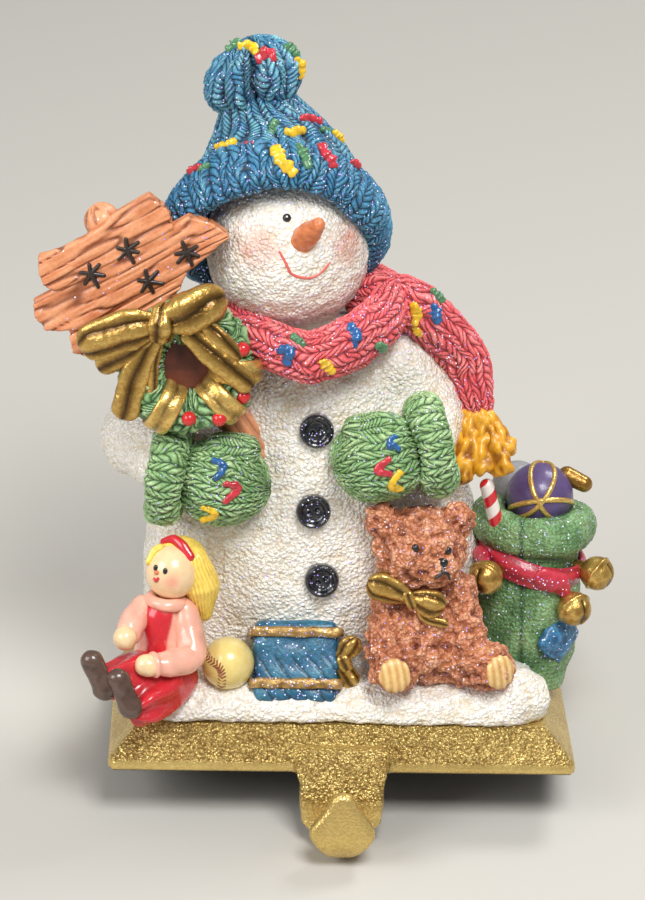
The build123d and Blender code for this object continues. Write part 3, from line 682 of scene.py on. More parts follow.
# Knitted hat
# Rolled brim of plaited wool, ribbed dome and pompom, all modelled in the casting. Blue, with painted shade
# in the crevices and a painted highlight on the crowns, and coloured stitches dabbed on in thick paint.
hat_lean = math.radians(50)
hat_axis = unit((0, math.sin(hat_lean), math.cos(hat_lean)))
brim_centre = np.array((-18.5, 0.0, 136.0))
brim_radius = 24.6
brim_half_thickness = 4.4
brim_half_height = 7.0
brim_droop = 1.6
brim_wales = 34
brim_stitches = 20
strand_slant = 3.2
strand_depth = 0.5
stitch_depth = 1.2
pompom_centre = np.array((-24.9, 4.5, 173.0))
pompom_axis = unit((-0.12, 0.05, 1.0))
pompom_half = (12.7, 12.7, 9.4)
pompom_cleft = 3.2
pompom_sag = 3.0
dome_shares = (0.0, 0.2, 0.45, 0.75, 1.0)
dome_reaches = (0.98, 0.93, 0.74, 0.52, 0.34)
dome_top = pompom_centre - 4.6 * pompom_axis
dome_swell = np.array((2.2, 0.0, 0.0)) + 2.9 * hat_axis
dome_cover = 1.10
dome_ribs = 15
dome_stitches = 20
dome_relief = 0.5
rib_depth = 1.9
pompom_wales = 12
pompom_stitches = 16
pompom_relief = 1.3
hat_blue = (40, 112, 158)
hat_teal = (86, 154, 186)
hat_pale = (126, 194, 208)
hat_shade_navy = (8, 30, 56)
mark_yellow = (248, 200, 40)
mark_red = (206, 52, 66)
mark_green = (84, 138, 96)
mark_blue = (36, 96, 158)
brim_marks = (
    (((278, 149), (281, 158), (289, 171)), mark_yellow, 1.7, 4),
    (((300, 147), (306, 162)), mark_green, 1.4, 3),
    (((321, 142), (327, 153), (333, 163)), mark_red, 1.6, 4),
    (((364, 146), (368, 155)), mark_red, 1.2),
    (((188, 172), (196, 167)), mark_red, 1.1),
    (((199, 169), (207, 165)), mark_green, 0.9),
)
dome_marks = (
    (((219, 146), (225, 145), (232, 141)), mark_yellow, 1.3),
    (((240, 146), (249, 142)), mark_red, 1.1),
    (((272, 129), (276, 121)), mark_green, 1.1),
    (((288, 131), (294, 131), (301, 129)), mark_yellow, 1.4),
    (((304, 117), (311, 118), (318, 120)), mark_red, 1.2),
    (((325, 129), (337, 131)), mark_green, 1.1),
    (((341, 128), (350, 132)), mark_yellow, 1.2),
)
pompom_marks = (
    (((228, 47), (234, 42)), mark_green, 1.5, 2),
    (((241, 44), (250, 45), (254, 50)), mark_yellow, 1.2),
    (((262, 55), (268, 51), (272, 55)), mark_red, 1.7),
    (((289, 47), (295, 52)), mark_green, 1.5, 2),
    (((300, 61), (303, 68), (303, 74)), mark_yellow, 1.2),
)


def hoop(centre, axis, radius, half_out, half_up, rows, sides, hint=(1, 0, 0)):
    """A ring: an oval section, half_out away from the axis and half_up along it, carried round a circle."""
    axis = unit(axis)
    first = unit(np.asarray(hint, float) - axis * np.dot(hint, axis))
    second = np.cross(axis, first)
    turn = circle_steps(rows)[:, None, None]
    section = circle_steps(sides)[None, :, None]
    out = np.cos(turn) * first + np.sin(turn) * second
    return np.asarray(centre) + out * (radius + half_out * np.cos(section)) + axis * half_up * np.sin(section)


def knit(along, across, slant):
    """Height, 0 to 1, of plaited stitches. Across counts wales and along counts stitches. Each wale has two
    legs of oval strands, and a strand lies slant stitches further along at the wale's edge than at its
    middle."""
    middle = np.abs(across - np.floor(across) - 0.5)
    step = along + slant * middle
    strand = 2 * (step - np.floor(step)) - 1
    leg = 4 * middle - 1
    return np.sqrt(np.clip(1 - leg ** 2, 0, 1) * np.clip(1 - strand ** 2, 0, 1))


def dab(skin, pixels, colour, radius=0.85, lumps=3):
    """A thick stroke of paint: a lumpy flattened tube through the skin's points seen at the pixels."""
    path = np.array([seen_at(skin, pixel) for pixel in pixels])
    stroke = sleeve(path, (radius,) * 4, 24, 12, 0.6)
    beads = np.cos(np.linspace(0, 2 * math.pi * lumps, len(stroke)))[:, None, None]
    middle = stroke.mean(1, keepdims=True)
    stroke = middle + (stroke - middle) * (1 + 0.16 * beads)
    stroke = raised(stroke, 0.35 * radius * grain(stroke, 1.1, lumps))
    return stroke, blend(0.6 * tone(colour), tone(colour), 0.8 + grain(stroke, 0.9)), False


def turns(skin, way):
    """Turns from -0.5 to 0.5 down (0) or round (1) a skin, counted from its point that is furthest to the
    front, so that they break at the back."""
    count = skin.shape[way]
    front = np.unravel_index(np.argmin(skin[..., 1]), skin.shape[:2])[way]
    share = ((np.arange(count) - front + count // 2) % count - count // 2) / count
    return share[None, :] if way else share[:, None]


def wool(skin, along, across, depth, colour, light, looped=False, sway=0.8):
    """Presses plaited stitches into a skin, swayed a little, and paints them lighter on their crowns as a
    painted highlight and darker in their hollows as painted shade. Along counts the stitches of a wale and
    across counts the wales; both go into the weave for the finish's strands."""
    along = along + sway * grain(skin, 3.6, 2)
    across = across + 0.4 * sway * grain(skin, 4.6, 6)
    height = knit(along, across, strand_slant) * (0.85 + 0.3 * grain(skin, 2.6, 12))
    paint = shades(colour, light, 1.3 * (height - 0.4) * (1 + grain(skin, 3.0, 8)))
    weave = np.stack([along, across, height], -1)
    return raised(skin, depth * (height - 0.5), looped), paint, looped, weave


brim = hoop(brim_centre, hat_axis, brim_radius, brim_half_thickness, brim_half_height, 380, 88)
brim[..., 2] -= brim_droop * np.cos(circle_steps(380))[:, None] ** 2
brim = raised(brim, 0.7 * grain(brim, 8.0), True)
brim_skin = wool(
    brim, brim_stitches * turns(brim, 1), brim_wales * turns(brim, 0), stitch_depth, hat_blue, hat_teal, True)
brim = brim_skin[0]

dome_share = np.linspace(0, 1, 100)
dome_reach = brim_radius * np.interp(dome_share, dome_shares, dome_reaches)
dome_turn = circle_steps(190)
dome_line = brim_centre + (dome_top - brim_centre) * dome_share[:, None]
dome_line = dome_line + dome_swell * np.sin(math.pi * dome_share)[:, None]
dome_facing = unit(hat_axis + (pompom_axis - hat_axis) * dome_share[:, None])
dome_side = unit(np.array((1.0, 0.0, 0.0)) - dome_facing * dome_facing[:, :1])
dome_back = np.cross(dome_facing, dome_side)
dome = dome_line[:, None] + dome_reach[:, None, None] * (
    np.cos(dome_turn)[:, None] * dome_side[:, None] + np.sin(dome_turn)[:, None] * dome_back[:, None])
on_head = (dome - head_centre) / head_half
covered = dome_cover / np.minimum(np.linalg.norm(on_head, axis=-1, keepdims=True), dome_cover)
dome = head_centre + (dome - head_centre) * covered
rib_place = dome_ribs * turns(dome, 1) + 0.1 * grain(dome, 9.0, 3)
rib_wave = np.abs(np.sin(math.pi * rib_place)) ** 0.6
dome = raised(dome, rib_depth * (rib_wave - 0.8) * (dome_reach / brim_radius)[:, None])
dome_skin = wool(dome, dome_stitches * dome_share[:, None], rib_place, dome_relief, hat_blue, hat_pale)
dome, dome_paint, *dome_rest = dome_skin
# Painted shade: the dome is navy in the grooves between its ribs.
dome_paint = blend(tone(hat_shade_navy), dome_paint, 1.6 * rib_wave)

pompom = egg(pompom_centre, pompom_half, 84, 144, pompom_axis)
pompom_share = np.linspace(0, 1, 84)[:, None]
from_front = 2 * math.pi * turns(pompom, 1)
cleft = np.exp(-(from_front / 0.2) ** 2) + 0.5 * np.exp(-((from_front + 0.75) / 0.16) ** 2)
side_cleft = np.exp(-((np.abs(from_front) - 2.2) / 0.25) ** 2)
cleft = np.maximum(cleft, side_cleft) * np.sin(math.pi * pompom_share) ** 0.5
pompom = raised(pompom, -pompom_cleft * cleft + 0.6 * grain(pompom, 5.0))
pompom_skin = wool(
    pompom, pompom_stitches * pompom_share + 1.6 * np.abs(from_front), pompom_wales * turns(pompom, 1),
    pompom_relief, hat_blue, hat_pale)
pompom, pompom_paint, *pompom_rest = pompom_skin
# Painted shade: the pompom is navy in its clefts.
pompom_paint = blend(pompom_paint, tone(hat_shade_navy), 0.8 * cleft)
sideways = np.clip((pompom[..., 0] - pompom_centre[0]) / pompom_half[0], -1, 1)
pompom[..., 2] += np.where(sideways < 0, pompom_sag, 0.6) * sideways

hat_finish = paint_finish(
    "blue_wool_paint", roughness=0.38, pit_size=0.6, pit_depth=0.45, pit_shade=0.3, flecks=0.08, coat=0.2,
    strands=(strand_slant, strand_depth, 0.2))
belongs(cast("hat_brim", brim_skin), hat_finish)
belongs(cast("hat_dome", (dome, dome_paint, *dome_rest)), hat_finish)
belongs(cast("pompom", (pompom, pompom_paint, *pompom_rest)), hat_finish)
hat_marks = [
    dab(skin, *mark) for skin, marks in ((brim, brim_marks), (dome, dome_marks), (pompom, pompom_marks))
    for mark in marks]
belongs(cast("hat_stitches", *hat_marks), gloss)

# Knitted scarf
# A plaited scarf wound once round the neck, with its tail thrown over the shoulder and a frayed fringe.
# Coral red with glitter in the hollows, painted shade there and a painted highlight on the crowns; the fringe
# is ochre yellow, browner in its dips as painted shade.
scarf_centre = np.array((-9.5, 2.5, 111.5))
scarf_rises = (-6.5, -1.8, 3.4, 1.8, 2.4, 3.2, 3.0, 1.8, -0.4, -2.2)
scarf_reaches = (22.0, 21.6, 20.6, 21.0, 22.0, 22.0, 22.0, 22.0, 22.0, 22.0)
scarf_half_heights = (6.3, 7.6, 7.6, 6.4, 6.2, 6.0, 6.0, 6.0, 6.2, 6.3)
scarf_half_thickness = 5.6
scarf_plaits = 8
scarf_stitches = 84
scarf_relief = 1.2
tail_path = (
    (5, 2, 115.5), (10, 0, 116.1), (16.4, 0, 114.3), (25.6, 2, 105.5), (31.3, 3, 97.4), (33.5, 1.5, 88))
tail_radii = (6.4, 6.4, 6.6, 6.4, 6.0, 4.6)
tail_plaits = 7
tail_stitches = 30
scarf_coral = (226, 82, 92)
scarf_rose = (250, 148, 148)
fringe_ochre = (236, 172, 38)
fringe_brown = (160, 96, 14)
fringe_root = np.array((33.5, 0.8, 87.0))
lock_radii = (2.0, 2.7, 2.6)
fringe_locks = (
    (-36, 15.0, 0.2), (-28, 17.0, 0.55), (-19, 17.5, 0.3), (-10, 16.0, 0.6), (0, 12.0, 0.25),
    (11, 13.5, 0.55), (21, 15.5, 0.3), (30, 15.0, 0.6), (39, 12.5, 0.35))
scarf_marks = (
    (((281, 350), (289, 354), (287, 361)), mark_blue, 1.5),
    (((296, 336), (302, 342)), mark_green, 1.2),
    (((326, 363), (333, 370)), mark_yellow, 1.4),
    (((354, 328), (358, 335), (357, 342)), mark_blue, 1.5),
    (((380, 346), (387, 353)), mark_green, 1.3),
)
tail_marks = (
    (((415, 308), (418, 316), (416, 323)), mark_yellow, 1.3),
    (((435, 308), (439, 319)), mark_blue, 1.4),
    (((435, 292), (442, 298)), mark_green, 1.2),
    (((416, 330), (420, 337)), mark_yellow, 0.9),
)


def round_neck(turn, values):
    """Reads values given at even turns, front first and then by the right, eased a little between them."""
    steps = circle_steps(len(values))
    near = [np.interp(turn + off, steps, values, period=2 * math.pi) for off in (-0.25, 0.0, 0.25)]
    return 0.25 * near[0] + 0.5 * near[1] + 0.25 * near[2]


scarf_turn = circle_steps(380)
scarf_section = circle_steps(84)
scarf_out = np.stack([np.sin(scarf_turn), -np.cos(scarf_turn), 0 * scarf_turn], -1)
scarf_reach = round_neck(scarf_turn, scarf_reaches)[:, None] + scarf_half_thickness * np.cos(scarf_section)
scarf = scarf_centre + scarf_out[:, None] * scarf_reach[..., None]
scarf[..., 2] += round_neck(scarf_turn, scarf_rises)[:, None]
scarf[..., 2] += round_neck(scarf_turn, scarf_half_heights)[:, None] * np.sin(scarf_section)
scarf = raised(scarf, 0.8 * grain(scarf, 9.0), True)
scarf_skin = wool(
    scarf, scarf_stitches * turns(scarf, 0), scarf_plaits * turns(scarf, 1), scarf_relief, scarf_coral,
    scarf_rose, True)
scarf = scarf_skin[0]
tail = sleeve(tail_path, tail_radii, 110, 76, 0.74)
tail_skin = wool(
    tail, np.linspace(0, tail_stitches, len(tail))[:, None], tail_plaits * turns(tail, 1),
    scarf_relief, scarf_coral, scarf_rose)
tail = tail_skin[0]

scarf_finish = paint_finish(
    "coral_wool_paint", roughness=0.4, pit_size=0.6, pit_depth=0.45, pit_shade=0.25, flecks=0.07, coat=0.15,
    strands=(strand_slant, strand_depth, 0.36))
belongs(cast("scarf_ring", scarf_skin), scarf_finish)
belongs(cast("scarf_tail", tail_skin), scarf_finish)
scarf_dabs = [
    dab(skin, *mark) for skin, marks in ((scarf, scarf_marks), (tail, tail_marks)) for mark in marks]
belongs(cast("scarf_stitches", *scarf_dabs), gloss)

fringe_skins = []
for number, (spread, length, ahead) in enumerate(fringe_locks):
    turn = math.radians(spread)
    way = np.array((math.sin(turn), -ahead, -math.cos(turn)))
    bend = np.array((0.8 * math.cos(2.4 * number), 0.5, 0.0))
    lock_path = [fringe_root, fringe_root + 0.5 * length * way + bend, fringe_root + length * way]
    lock = sleeve(lock_path, lock_radii, 46, 32, 0.8)
    frayed = 0.5 + 0.5 * grain(lock * (1.2, 1.2, 0.3), 1.7, number) + 0.25 * grain(lock, 1.6, number + 4)
    lock = raised(lock, 2.0 * (frayed - 0.5))
    # Painted shade: each lock is browner where its surface dips and ochre where it rises.
    fringe_skins.append((lock, shades(fringe_brown, fringe_ochre, 2.4 * frayed - 0.5), False))
belongs(cast("scarf_fringe", *fringe_skins), satin)

# Mittens
# Two knitted mittens in moss green, each with a turned-back cuff, and coloured stitches dabbed on. The knit
# has painted shade in its hollows and a painted highlight on its crowns.
left_hand = np.array((-31.8, -16.0, 71.4))
left_run = unit((1.0, -0.12, -0.12))
right_hand = np.array((8.5, -16.0, 78.1))
right_run = unit((-1.0, -0.15, -0.22))
mitten_half = (11.3, 11.3, 12.4)
mitten_wales = 16
mitten_stitches = 17
cuff_radius = 9.6
cuff_half_thickness = 4.0
cuff_half_height = 4.6
cuff_setback = 13.6
cuff_wales = 17
cuff_stitches = 12
thumb_radius = 4.6
thumb_taper = 0.6
thumb_stitches = 9
thumb_wales = 6
thumb_relief = 1.0
mitten_relief = 1.3
mitten_green = (122, 170, 108)
mitten_light = (196, 222, 170)
left_marks = (
    (((217, 462), (226, 467), (215, 477)), mark_blue),
    (((228, 486), (240, 488), (229, 501)), mark_red),
    (((203, 509), (216, 514), (202, 520)), mark_yellow),
)
right_marks = (
    (((396, 436), (388, 443), (398, 449)), mark_blue),
    (((386, 459), (377, 472), (390, 474)), mark_red),
    (((402, 474), (391, 487), (402, 491)), mark_yellow),
)

mitten_finish = paint_finish(
    "green_wool_paint", roughness=0.42, pit_size=0.6, pit_depth=0.45, pit_shade=0.3, flecks=0.045, coat=0.15,
    strands=(strand_slant, strand_depth, 0.2))
for side, hand, run, lift, marks in (
        ("left", left_hand, left_run, 9.0, left_marks), ("right", right_hand, right_run, 8.5, right_marks)):
    palm = egg(hand, mitten_half, 84, 132, run, (0, 0, 1))
    palm = raised(palm, 0.5 * grain(palm, 7.0, 4))
    palm = wool(
        palm, np.linspace(0, mitten_stitches, 84)[:, None], mitten_wales * turns(palm, 1), mitten_relief,
        mitten_green, mitten_light)
    cuff = hoop(
        hand - run * cuff_setback, run, cuff_radius, cuff_half_thickness, cuff_half_height, 150, 54,
        (0, 0, 1))
    cuff = raised(cuff, 0.5 * grain(cuff, 7.0, 4), True)
    cuff = wool(
        cuff, cuff_stitches * turns(cuff, 1), cuff_wales * turns(cuff, 0), mitten_relief,
        mitten_green, mitten_light, True)
    thumb_root = hand + (0, -2, lift)
    thumb_tip = thumb_root + run * 6 + (0, 0, 1)
    thumb = sleeve([thumb_root, thumb_tip], (thumb_radius, thumb_radius - thumb_taper), 34, 40)
    thumb = wool(
        thumb, np.linspace(0, thumb_stitches, len(thumb))[:, None], thumb_wales * turns(thumb, 1),
        thumb_relief, mitten_green, mitten_light)
    belongs(cast(side + "_mitten", palm, thumb), mitten_finish)
    belongs(cast(side + "_cuff", cuff), mitten_finish)
    strokes = [dab(palm[0], pixels, colour, 1.0, 3) for pixels, colour in marks]
    belongs(cast(side + "_mitten_stitches", *strokes), gloss)

# Buttons
# Three dished coat buttons, each with a rolled rim and two thread holes, painted navy black and glittered.
button_pixels = ((318, 432), (316, 513), (321, 581))
button_facing = unit((0, -1, 0.06))
button_black = (20, 22, 32)
button_reaches = (0.3, 1.2, 2.2, 2.7, 3.1, 3.6, 4.1, 4.45, 4.5, 4.4)
button_heights = (1.5, 1.4, 1.3, 1.6, 2.3, 2.6, 2.4, 1.7, 0.4, -1.6)

button_side = np.array((1.0, 0.0, 0.0))
button_up = np.cross(button_side, button_facing)
button_skins = []
for pixel in button_pixels:
    seat = seen_at(body_skin(), pixel)
    share = np.linspace(0, 1, 48)
    steps = np.linspace(0, 1, len(button_reaches))
    reach = np.interp(share, steps, button_reaches)
    height = np.interp(share, steps, button_heights)
    turn = circle_steps(52)
    spread = np.cos(turn)[:, None] * button_side + np.sin(turn)[:, None] * button_up
    disc = seat + reach[:, None, None] * spread + height[:, None, None] * button_facing
    for side in (-1, 1):
        hole = seat + side * 1.1 * unit((1, 0, 0.5)) + 1.4 * button_facing
        sunk = np.exp(-(((disc - hole) ** 2).sum(-1)) / 0.55 ** 2)
        disc = disc - 0.8 * sunk[..., None] * button_facing
    disc = disc + 0.08 * grain(disc, 1.0)[..., None] * button_facing
    button_skins.append((disc, tone(button_black), False))
button_finish = paint_finish(
    "navy_gloss_paint", roughness=0.18, pit_size=0.9, pit_depth=0.2, pit_shade=0.2, flecks=0.1, coat=0.8)
belongs(cast("buttons", *button_skins), button_finish)

# Plank sign
# Three rough boards on a post, carved with thin deep grain and painted terracotta with a brown wash in the
# grain. A plain motif of snow stars stands on the face.
sign_centre = np.array((-54.0, -17.0, 125.0))
sign_turn = math.radians(30)
sign_along = np.array((math.cos(sign_turn), 0.0, math.sin(sign_turn)))
sign_up = np.array((-math.sin(sign_turn), 0.0, math.cos(sign_turn)))
sign_front = np.array((0.0, -1.0, 0.0))
sign_thickness = 4.5
sign_step = 0.5
plank_tops = (
    ((-20, 13), (-18, 17), (-6, 15.8), (4, 17.4), (14, 17.6), (16, 12.5)),
    ((-26.5, 4.0), (-25, 7.6), (14, 7.9), (20, 8.0), (24, 4.0), (26, -0.7)),
    ((-22.5, -7.5), (-21, -3.7), (12.5, -3.9)),
)
plank_bottoms = (
    ((-20.5, 10), (-18, 7.0), (15, 7.0), (16, 11.5)),
    ((-26.4, 3.0), (-26, -0.5), (-19.5, -4.0), (14.5, -4.2), (26, -1.4)),
    ((-23, -8.7), (-20.5, -12), (-16, -11), (4, -11.5), (8.5, -7.5), (12.3, -4.1)),
)
post_top = np.array((-62.5, -12.5, 139.0))
post_foot = np.array((-23.5, -9.5, 78.0))
post_radius = 4.5
wood_light = (234, 162, 118)
wood_mid = (210, 130, 86)
wood_dark = (112, 54, 28)
star_pixels = ((92, 276), (128, 252), (150, 283), (187, 255))
star_size = 12.0
star_radius = 0.75
star_turns = (10, 70, 130)
star_brown = (46, 34, 30)


def walked(points, count):
    """A polyline's points at even steps of its length."""
    points = np.asarray(points, float)
    walk = np.concatenate([[0], np.cumsum(np.linalg.norm(np.diff(points, axis=0), axis=1))])
    even = np.linspace(0, walk[-1], count)
    return np.stack([np.interp(even, walk, points[:, 0]), np.interp(even, walk, points[:, 1])], -1)


def plank_skin(top, bottom, thickness, number):
    """Rounded oblong sections carried along a board, each spanning from its lower to its upper edge, with
    grain cut along it: noise that is drawn out along the board."""
    upper = walked(top, 100)
    lower = walked(bottom, 100)
    middle = (upper + lower) / 2
    half = np.maximum(np.linalg.norm(upper - lower, axis=1) / 2, 0.5)
    lean = unit(upper - lower)
    loop = outline(6.0, thickness / 2, 1.0, 84)
    rise = loop[None, :, 0] / 6.0 * half[:, None]
    flat = middle[:, None] + rise[..., None] * lean[:, None]
    out = np.broadcast_to(loop[None, :, 1], rise.shape)
    skin = (
        sign_centre + flat[..., :1] * sign_along + flat[..., 1:] * sign_up
        + (out - sign_step * number / 2)[..., None] * sign_front)
    drawn = np.stack([flat[..., 0] / 9, flat[..., 1] + 1.2 * grain(skin, 11.0), out / 3], -1)
    cut = np.exp(-(grain(drawn, 1.7, number) / 0.10) ** 2)
    fine = grain(drawn * (1.5, 1, 1), 0.7, number + 3)
    skin = raised(skin, 0.25 - 0.8 * cut + 0.14 * fine)
    shade = shades(wood_mid, wood_light, 0.5 + 0.9 * fine)
    return skin, blend(shade, tone(wood_dark), 0.8 * cut), False


post = sleeve([post_top, post_foot], (post_radius, post_radius), 90, 48)
post_drawn = np.stack([
    circle_steps(48)[None, :] * post_radius + 0 * post[..., 0],
    np.linspace(0, 8, len(post))[:, None] + 0 * post[..., 0],
    0.4 * grain(post, 9.0)], -1)
post_cut = np.exp(-(grain(post_drawn, 1.6) / 0.16) ** 2)
post = raised(post, 0.1 - 0.6 * post_cut)
wood = paint_finish(
    "terracotta_wood_paint", roughness=0.4, pit_size=0.9, pit_depth=0.14, pit_shade=0.14, flecks=0.01, coat=0.2)
planks = [
    plank_skin(plank_tops[number], plank_bottoms[number], sign_thickness - sign_step * number, number)
    for number in range(3)]
for number, plank in enumerate(planks):
    belongs(cast("sign_plank_" + str(number + 1), plank), wood)
belongs(cast("sign_post", (post, shades(wood_light, wood_dark, 0.7 * post_cut), False)), wood)
sign_face = np.concatenate([plank[0].reshape(-1, 3) for plank in planks])
arms = []
for across, below in star_pixels:
    for turn in star_turns:
        step = star_size * np.array((math.cos(math.radians(turn)), math.sin(math.radians(turn))))
        ends = [seen_at(sign_face, np.array((across, below)) + part * step) for part in (-1, 0, 1)]
        arm = sleeve(ends, (0.7 * star_radius, star_radius, 0.7 * star_radius), 24, 10)
        arms.append((arm, tone(star_brown), False))
belongs(cast("sign_stars", *arms), satin)

# Wreath and its bow
# A leafy ring with red berries, wound with ribbon, and a ribbon bow tied on top. The leaves and the antique
# gold ribbon have a painted highlight on their crowns and folds and painted shade in their hollows and
# creases. A brown board closes the ring's middle.
wreath_centre = np.array((-40.5, -20.0, 103.5))
wreath_axis = unit((0.06, -1, 0.10))
wreath_radius = 12.0
wreath_tube = 5.2
wreath_sprigs = 15
wreath_needles = 14
leaf_relief = 1.8
leaf_sway = 1.6
board_half = (10.5, 10.5, 2.4)
winding_turns = (-45, -3, -118)
winding_half_width = 3.2
berry_pixels = ((190, 419), (219, 420), (243, 348), (245, 398))
berry_radius = 1.9
leaf_light = (182, 212, 160)
leaf_mid = (116, 164, 108)
berry_red = (206, 40, 44)
board_brown = (112, 56, 36)
gold_light = (232, 196, 112)
gold_mid = (156, 118, 50)
gold_deep = (66, 46, 18)
knot = np.array((-47.0, -26.5, 116.5))
bow_runs = (
    (((0, 0, 0), (-8, -1.0, -1.2), (-16.5, 0.8, -5.2)), (2.4, 5.4, 4.8), 5, 0.55, 0.3),
    (((0, 0, 0), (-8, -0.2, -6.5), (-14.0, 1.0, -11.0)), (1.8, 3.4, 2.8), 3, 0.6, 0.3),
    (((0, 0, 0), (5, -0.8, 2.4), (11.0, 1.5, 4.4)), (2.6, 5.6, 5.4), 4, 0.7, -0.3),
    (((0, 0, 0), (-6.2, 0.2, -12), (-8.8, 1.5, -22.6)), (2.0, 3.6, 3.8), 4, 0.55),
    (((0, 0, 0), (-2.2, 0.2, -9), (-2.8, 1.5, -18.0)), (1.6, 1.8, 1.5), 3, 0.7),
    (((7.0, 0.4, -3.5), (14.0, 0.0, -10.0), (20.5, 1.2, -15.6)), (2.6, 3.0, 2.9), 3, 0.5),
    (((11.5, 0.8, -1.5), (15.0, 0.6, -5.0), (18.0, 1.4, -8.4)), (2.0, 2.4, 2.2), 3, 0.55),
    (((0.4, -0.8, 2.6), (0, -1.8, 0), (-0.4, -0.8, -2.6)), (3.0, 3.9, 3.0), 5, 0.8),
)

wreath = hoop(wreath_centre, wreath_axis, wreath_radius, wreath_tube, wreath_tube, 220, 64)
wreath = raised(wreath, grain(wreath, 4.0), True)
wreath_skin = wool(
    wreath, wreath_needles * turns(wreath, 1), wreath_sprigs * turns(wreath, 0), leaf_relief,
    leaf_mid, leaf_light, True, leaf_sway)
wreath = wreath_skin[0]
leaf_finish = paint_finish(
    "leaf_paint", roughness=0.42, pit_size=0.7, pit_depth=0.4, pit_shade=0.25, flecks=0.02, coat=0.1,
    strands=(strand_slant, 0.7, 0.3))
belongs(cast("wreath", wreath_skin), leaf_finish)
board = egg(wreath_centre - wreath_axis * 1.5, board_half, 40, 60, wreath_axis)
board_paint = blend(tone(board_brown) * 0.7, tone(board_brown), 0.6 + grain(board, 2.0))
belongs(cast("wreath_board", (board, board_paint, False)), satin)
berries = [egg(seen_at(wreath, pixel), (berry_radius,) * 3, 20, 24) for pixel in berry_pixels]
belongs(cast("berries", *[(berry, tone(berry_red), False) for berry in berries]), gloss)

gold_ribbon = paint_finish(
    "antique_gold_paint", roughness=0.27, pit_size=1.1, pit_depth=0.2, pit_shade=0.3, metal=0.7, coat=0.2)


def ribbon(path, radii, folds, flat, twist=0.0, rows=44, sides=50):
    """A gathered ribbon: a flattened tube with folds running along it, wider apart where it is wider, with
    painted shade dark in the creases and a painted highlight on the crowns of the folds."""
    skin = sleeve(path, radii, rows, sides, flat)
    share = np.linspace(0, 1, len(skin))[:, None]
    turn = circle_steps(sides)[None, :] + twist * share + 0.25 * grain(skin, 6.0)
    crease = np.abs(np.sin(folds / 2 * turn)) ** 0.7
    size = np.linalg.norm(skin - skin.mean(1, keepdims=True), axis=-1)
    skin = raised(skin, 0.3 * size * (crease - 0.65) + 0.22 * grain(skin, 2.2))
    paint = shades(gold_deep, gold_mid, 1.5 * crease - 0.2)
    paint = blend(paint, tone(gold_light), 1.6 * (crease - 0.6))
    return skin, paint, False


bow_skins = [ribbon(knot + np.array(run), *form) for run, *form in bow_runs]
belongs(cast("bow", *bow_skins), gold_ribbon)
wreath_side = unit(np.array((1.0, 0.0, 0.0)) - wreath_axis * wreath_axis[0])
wreath_up = np.cross(wreath_axis, wreath_side)
winding_skins = []
for turn in winding_turns:
    angle = math.radians(turn)
    spot = wreath_centre + wreath_radius * (math.cos(angle) * wreath_side + math.sin(angle) * wreath_up)
    way = math.cos(angle) * wreath_up - math.sin(angle) * wreath_side
    band = hoop(spot, way, wreath_tube + 0.9, 0.85, winding_half_width, 76, 32)
    # Painted shade and highlight: each winding is dark gold in its creases and light gold on its folds.
    folds = np.abs(np.sin(2.0 * circle_steps(32)[None, :] + 0.6 * grain(band, 5.0))) ** 0.6
    band = raised(band, 0.5 * (folds - 0.6), True)
    winding_skins.append((band, shades(gold_deep, gold_light, 0.2 + 0.8 * folds), True))
belongs(cast("ribbon_windings", *winding_skins), gold_ribbon)

# Doll
# A rag doll seated at the corner: yellow hair with a red band, pink blouse, red pinafore and brown boots.
# All gloss paint over smooth modelling.
doll_seat = np.array((-46.0, -25.0, 22.0))
doll_chest = doll_seat + (-0.5, 0, 15.5)
doll_head = doll_seat + (2.0, 0.5, 27.8)
doll_head_half = (6.9, 6.9, 7.1)
crown_half = (7.4, 7.0, 7.4)
doll_skin = (246, 214, 168)
doll_hair = (255, 224, 108)
doll_hair_deep = (220, 162, 54)
doll_pink = (246, 182, 160)
doll_red = (208, 40, 52)
doll_boot = (92, 70, 60)
doll_eye_black = (22, 22, 26)
doll_nose_orange = (226, 120, 70)
doll_flush = (240, 150, 128)
doll_eye_half = (0.62, 0.62, 0.85)
doll_nose_half = (0.7, 0.7, 0.6)
doll_hands = (((-9.6, -9.3, 13.2), (3.1, 3.3, 3.2)), ((-3.8, -13.0, 7.2), (3.4, 3.0, 3.0)))
doll_left_arm = ((-5.3, 0.5, 17.9), (-8, -4.5, 15.6), (-9.0, -7.5, 13.4))
doll_right_arm = ((5.2, -0.5, 17.5), (7.2, -6.0, 8.0), (2.0, -10.6, 7.0), (-1.5, -12.0, 7.2))
doll_left_skirt = ((0, 0, 0), (-7, -8, 2.6), (-12.5, -13.0, 3.2))
doll_right_skirt = ((2, -2, 0), (-1, -7, -1.5), (-4.5, -11.5, -3.0))
fold_depth = 0.8
boot_places = ((-16.2, -15.5, 5.5), (-9.6, -17.0, 1.2))
boot_toe = 3.9 * np.array((-0.42, 0.1, 0.9))
doll_eye_pixels = ((154, 568), (165, 572.5))
doll_mouth_pixels = ((153, 580), (156, 582), (158, 580))
doll_nose_pixel = (155.5, 575)
doll_cheek_pixel = (171, 584)
hair_band_pixels = ((161, 537), (172, 539), (183, 545), (191, 555))
brow_lock_pixels = ((158, 541), (151, 549), (148, 561))
bib_middle = 157
bib_levels = (605, 606, 625, 642)
bib_halves = (0, 18, 15, 11)
bib_edge = 2.5


def soft(skin, colour, lump=0.15, size=2.5, shift=0):
    """A skin with slight hand-modelled unevenness in one colour, darker in its hollows as painted shade."""
    dent = grain(skin, size, shift)
    return raised(skin, lump * dent), blend(tone(colour) * 0.72, tone(colour), 0.9 + 0.6 * dent), False


